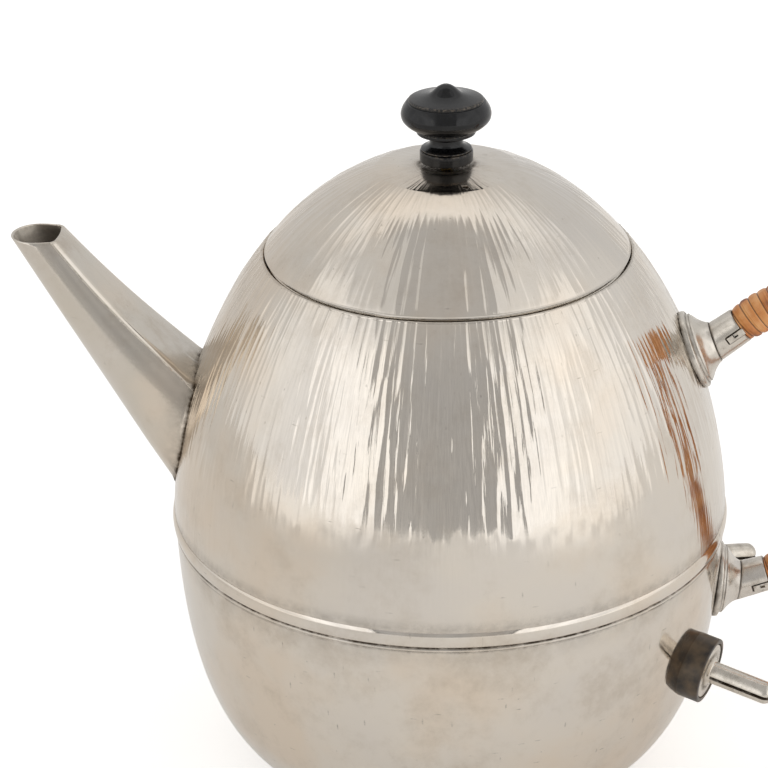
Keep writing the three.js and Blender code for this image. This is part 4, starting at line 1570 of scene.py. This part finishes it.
        # seam is highest in the valley between turns, where the cane's material paints shade
        layers = {
            "turn": np.pad(turn, pad, "edge"),
            "across": np.pad(across, pad, "edge"),
            "seam": np.pad(np.abs(2 * across - 1) ** 5, pad, "edge"),
        }
        piece = surface("cane_binding_wound", points, False, layers)
        self.dress(piece, Body.KETTLE, Slot.CANE, self.finishes.cane, "cane_binding")


@dataclass
class ContactPins(Assembly):
    """The two split pins that take the supply connector, each in a turned fibre bush."""

    z: float = 43.3
    spread: float = 24.0
    tilt: float = -8.8
    pin_r: float = 3.2
    length: float = 25.0
    bush_r: float = 9.5
    bush_depth: float = 5.7
    slit: float = 0.9

    def build(self) -> None:
        """Makes and dresses the pieces."""
        for number, side in ((1, -1), (2, 1)):
            angle = np.radians(side * self.spread)
            r = float(EGG.radius(np.array(self.z)))
            seat = Seat((r * np.cos(angle), r * np.sin(angle), self.z), side * self.spread, self.tilt)
            self.pin(number, seat)
            self.bush(number, seat)

    def pin(self, number: int, seat: Seat) -> None:
        """A pin with a collar and a shank, round at its tip and sawn along its length.

        Args:
            number: which of the two.
            seat: where it stands on the casing.
        """
        face = self.bush_depth - 0.2
        r, columns = self.pin_r, 72
        shoulder = self.length - r * 0.9
        body = rounded(
            [
                (0, -12), (3, -12, 0.3), (3, 2.8), (7.9, 2.8, 0.2), (7.9, face, 0.3), (r + 1.5, face, 0.3),
                (r + 1.2, face + 0.3, 0.2), (r, face + 0.9, 0.4), (r, shoulder),
            ],
            closed=False,
        )
        nose = arc((0.0, 0.0), 1.0, 0, 90, 10) * [r, r * 0.9] + [0, shoulder]
        section = np.vstack([dense(body, 1.5), nose[1:]])
        section[-1, 0] = 0
        # painted shade where the pin leaves the collar's face
        on_pin = section[:, 0] < 5
        grime_and_shade = 0.8 * bell(section[:, 1], face, 0.35) * on_pin
        layer = np.repeat(grime_and_shade[:, None], columns, axis=1)
        points = seat.place(turned(section, columns))
        pin = surface(f"contact_pin_{number}_split", points, False, {"grime_and_shade": layer})
        sawn = (0, 0, face + 16.2)
        slit = self.tool(seat.place(block((self.slit, 12, 30), sawn)))
        pin = self.cut(pin, [slit])
        # painted shade fills the slit
        self.shade_hollow(pin, seat, sawn, (self.slit / 2 + 0.02, r + 0.1, 15.1))
        self.dress(pin, Body.KETTLE, Slot.NICKEL, self.finishes.fittings, f"contact_pin_{number}")

    def bush(self, number: int, seat: Seat) -> None:
        """A fibre cup round the pin's collar, its back fitted to the casing, its edges worn round.

        Args:
            number: which of the two.
            seat: where it stands on the casing.
        """
        r, depth, bore, back, columns = self.bush_r, self.bush_depth, 3.3, 0.6, 96
        section = rounded(
            [
                (bore, -back), (r, -back, 0.1), (r, depth - 0.2, 0.9), (r - 0.4, depth, 0.5),
                (8.15, depth, 0.25), (8.1, 2.4, 0.2), (bore, 2.4, 0.1),
            ],
            closed=True,
        )
        section = dense(np.vstack([section, section[:1]]), 0.8)[:-1]
        flat = seat.place(turned(section * [1, 0], columns))
        fitted = EGG.seat(flat, seat.axis(), -0.15) - flat + back * seat.axis()
        weight = (1 - smooth_step(-back, 1.6, section[:, 1]))[:, None, None]
        points = seat.place(turned(section, columns)) + fitted * weight
        piece = surface(f"pin_bush_{number}_turned", points, True, {})
        self.dress(piece, Body.KETTLE, Slot.FIBRE, self.finishes.fibre, f"pin_bush_{number}")


@dataclass
class Lid(Assembly):
    """The domed lid with its radial peen marks, its bezel and its black turned knob."""

    columns: int = 960
    wall: float = 0.8
    marks: PeenMarks = field(
        default_factory=lambda: PeenMarks(count=150, length=17.0, depth=0.34, seed=29)
    )
    marks_from: float = 75.0
    rim_r: float = 49.9
    rim_lip: float = 0.1
    steam_r: float = 0.8
    steam_at: float = 17.0
    steam_angle: float = -70.3
    knob_z: float = 182.5

    def build(self) -> None:
        """Makes and dresses the pieces."""
        self.dome()
        self.bezel()
        self.knob()

    def outline(self, drop: float, inset: float, count: int) -> np.ndarray:
        """The dome's outline from edge to middle: the egg's, then nearly flat up to the crown.

        Args:
            drop: how far it is moved down.
            inset: how far its outer part is moved in.
            count: points on the egg's part; the crown has a third as many.

        Returns:
            An array (points, 2).
        """
        z = EGG.seam + 0.5 + (EGG.crown_from - EGG.seam - 0.5) * np.sin(np.pi / 2 * np.linspace(0, 1, count))
        r = EGG.radius(z) - inset
        top_r = np.linspace(r[-1], 0, count // 3)[1:]
        top_z = EGG.crown - (EGG.crown - EGG.crown_from) * (top_r / r[-1]) ** 1.6
        return np.column_stack([np.concatenate([r, top_r]), np.concatenate([z, top_z]) - drop])

    def dome(self) -> None:
        """The shell: the outline turned, its peen marks, a fine lip round its rim, and the steam hole.

        The marks run from `marks_from` in towards the middle, and fade at the very edge and under the knob.
        """
        outer = self.outline(0.0, 0.2, 66)
        inner = self.outline(self.wall, 0.2 + self.wall, 12)[::-1]
        edge = arc((outer[0, 0] - 0.4, outer[0, 1] + 0.1), 0.42, 240, 350, 5)
        section = np.vstack([edge, outer, inner])
        section = section[:-1] if section[-1, 0] == 0 else section
        points = turned(section, self.columns)
        angle = np.arctan2(points[..., 1], points[..., 0])
        r = np.hypot(points[..., 0], points[..., 1])
        fade = smooth_step(11.0, 27.0, r) * smooth_step(50.3, 48.9, r)
        relief = self.marks.height(angle, self.marks_from - r) * fade * np.clip(r / 42, 0.25, 1)
        relief += self.rim_lip * bell(r, self.rim_r, 0.35)
        relief += 0.03 * waves(angle, r, seed=61, count=14, finest=22.0) * smooth_step(3, 20, r)
        outside = np.zeros(len(section))
        outside[len(edge) : len(edge) + len(outer)] = 1
        points[..., 2] += relief * outside[:, None]
        # painted shadow of the knob: darker round its foot and towards the middle under it
        grime_and_shade = 0.8 * bell(r, 7.6, 0.7) + 0.25 * smooth_step(14, 7, r)
        layers = {"grime_and_shade": grime_and_shade, "hammer": wrapped(angle, 0.09 * (60 - r), 34.0)}
        piece = surface("lid_shell_hammered", points, True, layers)
        a = np.radians(self.steam_angle)
        x, y = self.steam_at * np.cos(a), self.steam_at * np.sin(a)
        below, above = EGG.crown - 12, EGG.crown + 8
        hole = np.array([(0, below), (self.steam_r, below), (self.steam_r, above), (0, above)])
        piece = self.cut(piece, [self.tool(turned(hole, 24) + [x, y, 0])])
        upright = Seat((x, y, EGG.crown), 0.0, 90.0)
        # painted shade fills the steam hole
        self.shade_hollow(piece, upright, (0, 0, 0), (self.steam_r + 0.05, self.steam_r + 0.05, 8))
        self.dress(piece, Body.LID, Slot.NICKEL, self.finishes.vessel, "lid_shell")

    def bezel(self) -> None:
        """The ring under the lid that drops into the mouth's collar."""
        seam = EGG.seam
        section = rounded(
            [
                (44.0, seam - 7, 0.2), (44.9, seam - 7, 0.2), (44.9, seam + 2.2, 0.3),
                (46.5, seam + 2.2, 0.2), (46.1, seam + 3.4, 0.2), (44.0, seam + 3.4, 0.2),
            ],
            closed=True,
        )
        piece = surface("lid_bezel_turned", turned(section, 256), True, {})
        self.dress(piece, Body.LID, Slot.NICKEL, self.finishes.fittings, "lid_bezel")

    def knob(self) -> None:
        """The knob: a separate disc, then a head with a waisted neck, a collar, a full round and a nipple."""
        disc = rounded([(2.3, 0.35), (7.3, 0.35, 0.2), (7.3, 3.1, 0.15), (7.05, 3.4, 0.1), (2.3, 3.4)], True)
        disc = dense(np.vstack([disc, disc[:1]]), 0.6)[:-1]
        self.black("knob_base", "knob_base_turned", disc, True, {3.2: 0.25})
        head = rounded(
            [
                (0, 6.9), (2.3, 6.9), (2.3, 3.55), (6.9, 3.55, 0.1), (6.95, 3.95, 0.2), (5.7, 4.35, 0.5),
                (4.6, 5.1, 0.6), (4.45, 6.9, 0.3), (5.15, 7.15, 0.12), (5.2, 7.6, 0.12), (7.3, 7.95, 0.3),
                (8.1, 8.3, 0.2), (8.15, 9.15, 0.15), (7.95, 9.45, 0.1), (8.6, 9.65, 0.2), (10.6, 10.6, 1.1),
                (12.1, 12.2, 1.1), (12.4, 13.8, 0.9), (11.9, 15.5, 1.0), (10.75, 17.1, 0.35),
                (10.25, 17.2, 0.08), (10.3, 17.7, 0.12), (9.8, 18.0, 0.15), (6.6, 18.6, 1.2),
                (4.4, 19.2, 1.0), (3.2, 20.3, 0.7), (2.3, 21.1, 0.6), (1.2, 21.7, 0.5), (0.5, 21.85, 0.2),
                (0, 21.85),
            ],
            closed=False,
            steps=6,
        )
        edges = {17.75: 0.25, 9.2: 0.15, 3.7: 0.25}
        self.black("knob_head", "knob_head_turned", dense(head, 0.6), False, edges)

    def black(
        self, node: str, name: str, outline: np.ndarray, closed: bool, edges: dict[float, float]
    ) -> None:
        """Turns one piece of the knob and marks how worn it is.

        Args:
            node: the CAD node that it stands for.
            name: the piece's name.
            outline: radius and height above the lid's flat.
            closed: whether the outline closes on itself.
            edges: for the height of each edge that fingers reach, how wide its wear is.
        """
        rubbed, columns = 0.65, 128
        wear = np.zeros(len(outline))
        for height, width in edges.items():
            wear += rubbed * bell(outline[:, 1], height, width)
        layer = np.repeat(wear[:, None], columns, axis=1)
        piece = surface(name, turned(outline + [0, self.knob_z], columns), closed, {"wear": layer})
        self.dress(piece, Body.LID, Slot.EBONY, self.finishes.ebony, node)


class Fastenings(Assembly):
    """The pieces inside, and those whose plain shape is already right: each keeps its own solid."""

    def build(self) -> None:
        """Gives every CAD node that is still shown the finish of its slot."""
        slots = {part["node"]: Slot(part["material_slot"]) for part in frame["record"]["subparts"]}
        for name, node in frame["nodes"].items():
            if node.hide_render:
                continue
            node.data.materials.clear()
            node.data.materials.append(self.finishes.for_slot(slots[name]))
            log.info("%s keeps its solid, in %s", name, slots[name].value)


# ---------------------------------------------------------------- the studio


@dataclass
class Studio:
    """A pale floor, soft light all round it, and the camera.

    The camera's distance, height and lens are in millimetres and its turns in degrees. The floor's glow is
    first what reflections see of it, then what the camera sees. At its front sides, between the two
    distances of `floor_sides` in metres, reflections see `side_glow`. Light is a share of a white wall's.
    """

    distance: float = 640.7
    height: float = 416.9
    azimuth: float = 2.7
    pitch: float = 25.19
    yaw: float = -1.63
    roll: float = -1.14
    lens: float = 116.9
    floor_glow: tuple[float, float] = (0.15, 0.5)
    floor_sides: tuple[float, float] = (0.4, 1.1)
    side_glow: float = 0.55
    strongest: float = 1.5
    panel: float = 1.5
    gap: float = 0.1

    def build(self) -> None:
        """Makes the floor, the light and the camera."""
        self.floor()
        self.light()
        self.camera()

    def camera(self) -> None:
        """A camera slightly to the handle's side, above the kettle and looking down on it."""
        pitch, yaw, roll = np.radians([self.pitch, self.yaw, self.roll])
        forward = np.array([np.sin(yaw) * np.cos(pitch), np.cos(yaw) * np.cos(pitch), -np.sin(pitch)])
        right = np.cross(forward, [0, 0, 1.0])
        right /= np.linalg.norm(right)
        up = np.cross(right, forward)
        tilted_right = right * np.cos(roll) + up * np.sin(roll)
        tilted_up = -right * np.sin(roll) + up * np.cos(roll)
        turn = np.radians(self.azimuth)
        about = np.array([[np.cos(turn), -np.sin(turn), 0], [np.sin(turn), np.cos(turn), 0], [0, 0, 1]])
        axes = about @ np.array([tilted_right, tilted_up, -forward]).T
        place = about @ np.array([0, -self.distance, self.height]) * MM
        matrix = Matrix([[*axes[i], place[i]] for i in range(3)] + [[0, 0, 0, 1]])
        made = bpy.data.objects.new("camera", bpy.data.cameras.new("camera"))
        made.data.lens = self.lens
        made.data.sensor_width = 36.0
        made.data.clip_start = 0.01
        made.matrix_world = matrix
        bpy.context.scene.collection.objects.link(made)
        bpy.context.scene.camera = made

    def floor(self) -> None:
        """A wide pale disc under the kettle that glows a little, more at its front sides, and is painted
        darker towards the spout's side as shade.
        """
        rings = np.array([0, 200, 600, 2000, 9000], float)
        points = turned(np.column_stack([rings, np.full(5, -0.1)]), 96)
        made = surface("studio_floor", points, False, {})
        material, tree, shader = blank("pale_floor")
        place = add_node(tree, "TexCoord").outputs["Object"]
        side, back, _ = add_node(tree, "SeparateXYZ", {"Vector": place}).outputs
        # painted shade: the floor's colour is darker towards -x, the spout's side
        share = add_node(
            tree, "MapRange", {VALUE: side, LOW: -0.7, HIGH: 0.25}, interpolation_type="SMOOTHSTEP"
        ).outputs[0]
        shaded_floor_tone = add_node(tree, "ValToRGB", {"Fac": share}, [(0.0, "#d9d6d2"), (1.0, "#f2f0ed")])
        tree.links.new(shaded_floor_tone.outputs["Color"], shader.inputs["Base Color"])
        shader.inputs["Roughness"].default_value = 0.9
        shader.inputs["Specular IOR Level"].default_value = 0.1
        shader.inputs["Emission Color"].default_value = srgb("#ffffff")
        straight = add_node(tree, "LightPath").outputs["Is Camera Ray"]
        near, far = self.floor_sides
        aside = add_node(tree, "Math", {0: side}, operation="ABSOLUTE").outputs[0]
        wide = add_node(
            tree, "MapRange", {VALUE: aside, LOW: near, HIGH: far}, interpolation_type="SMOOTHSTEP"
        ).outputs[0]
        ahead = add_node(
            tree, "MapRange", {VALUE: back, LOW: 0.0, HIGH: -0.5}, interpolation_type="SMOOTHSTEP"
        ).outputs[0]
        panel = add_node(tree, "Math", {0: wide, 1: ahead}, operation="MULTIPLY").outputs[0]
        reflected = add_node(
            tree, "MapRange", {VALUE: panel, OUT_LOW: self.floor_glow[0], OUT_HIGH: self.side_glow}
        ).outputs[0]
        glow = add_node(
            tree, "MapRange", {VALUE: straight, OUT_LOW: reflected, OUT_HIGH: self.floor_glow[1]}
        ).outputs[0]
        tree.links.new(glow, shader.inputs["Emission Strength"])
        made.data.materials.append(material)

    def light(self) -> None:
        """Soft light from all round, by the direction's components, and plain white for the camera.

        In front and low, a bright panel of uneven strips stands on each side of a greyer middle, with a
        dark gap between. Overhead in front it is more even. Behind it is a soft grey low down, and overhead
        a bright strip that fades backwards.
        """
        world = bpy.data.worlds.new("studio")
        world.use_nodes = True
        bpy.context.scene.world = world
        tree = world.node_tree
        tree.nodes.clear()
        way = add_node(tree, "TexCoord").outputs["Generated"]
        across, back, up = add_node(tree, "SeparateXYZ", {"Vector": way}).outputs
        front_low = self.levels(
            tree, across,
            [
                (-1.0, 0.98), (-0.93, 1.1), (-0.87, 0.96), (-0.8, 1.16), (-0.765, 1.38), (-0.7, self.panel),
                (-0.62, 1.24), (-0.55, self.panel), (-0.49, 1.3), (-0.435, self.panel),
                (-0.425, self.gap), (-0.41, self.gap),
                (-0.4, 0.5), (-0.27, 0.57), (-0.16, 0.47), (-0.03, 0.54), (0.1, 0.46), (0.22, 0.55),
                (0.33, 0.48), (0.42, 0.53),
                (0.43, self.gap), (0.445, self.gap),
                (0.455, self.panel), (0.51, 1.28), (0.58, self.panel), (0.65, 1.26), (0.71, self.panel),
                (0.755, 1.36), (0.8, 1.3), (0.88, 1.06), (0.94, 1.26), (1.0, 1.12),
            ],
        )
        front_high = self.levels(
            tree, across,
            [
                (-1.0, 0.7), (-0.5, 0.74), (-0.38, 0.78), (-0.35, 0.55), (0.38, 0.58), (0.41, 0.95),
                (0.55, 0.88), (1.0, 0.82),
            ],
        )
        behind_low = self.levels(tree, across, [(-1.0, 0.84), (-0.8, 0.7), (0.6, 0.74), (1.0, 0.95)])
        behind_high = self.levels(
            tree, back, [(0.16, 0.56), (0.21, 1.12), (0.4, 1.0), (0.62, 0.72), (1.0, 0.7)]
        )
        overhead = add_node(
            tree, "MapRange", {VALUE: up, LOW: 0.5, HIGH: 0.82}, interpolation_type="SMOOTHSTEP"
        ).outputs[0]
        past = add_node(
            tree, "MapRange", {VALUE: back, LOW: 0.1, HIGH: 0.2}, interpolation_type="SMOOTHSTEP"
        ).outputs[0]
        plain = add_node(tree, "LightPath").outputs["Is Camera Ray"]
        front = add_node(
            tree, "Mix", {FACTOR: overhead, UNDER: front_low, OVER: front_high}, data_type="RGBA"
        ).outputs[MIXED]
        behind = add_node(
            tree, "Mix", {FACTOR: overhead, UNDER: behind_low, OVER: behind_high}, data_type="RGBA"
        ).outputs[MIXED]
        seen = add_node(
            tree, "Mix", {FACTOR: past, UNDER: front, OVER: behind}, data_type="RGBA"
        ).outputs[MIXED]
        shown = add_node(
            tree, "Mix", {FACTOR: plain, UNDER: seen, OVER: srgb("#ffffff")}, data_type="RGBA"
        ).outputs[MIXED]
        glow = add_node(tree, "Background", {"Color": shown, "Strength": self.strongest}).outputs[0]
        add_node(tree, "OutputWorld", {"Surface": glow})
        bpy.context.scene.view_settings.view_transform = "Standard"

    def levels(self, tree: Tree, along: Socket, stops: list[tuple[float, float]]) -> Socket:
        """Panels of light along one component of the direction.

        Args:
            tree: the world's nodes.
            along: the component, -1 to 1.
            stops: pairs of the component and the light there, as a share of a fully white wall's.

        Returns:
            The light, as a share of the strongest.
        """
        place = add_node(tree, "MapRange", {VALUE: along, LOW: -1.0, HIGH: 1.0}).outputs[0]
        scaled = [((at + 1) / 2, light / self.strongest) for at, light in stops]
        return add_node(tree, "ValToRGB", {"Fac": place}, scaled).outputs["Color"]


def main() -> None:
    """Builds the studio and the kettle."""
    logging.basicConfig(level=logging.INFO, format="%(name)s: %(message)s")
    Studio().build()
    finishes = Finishes()
    for kind in (Vessel, Casing, Spout, Handle, ContactPins, Lid, Fastenings):
        kind(finishes).build()
        log.info("%s done", kind.__name__)


if __name__ == "__main__":
    main()
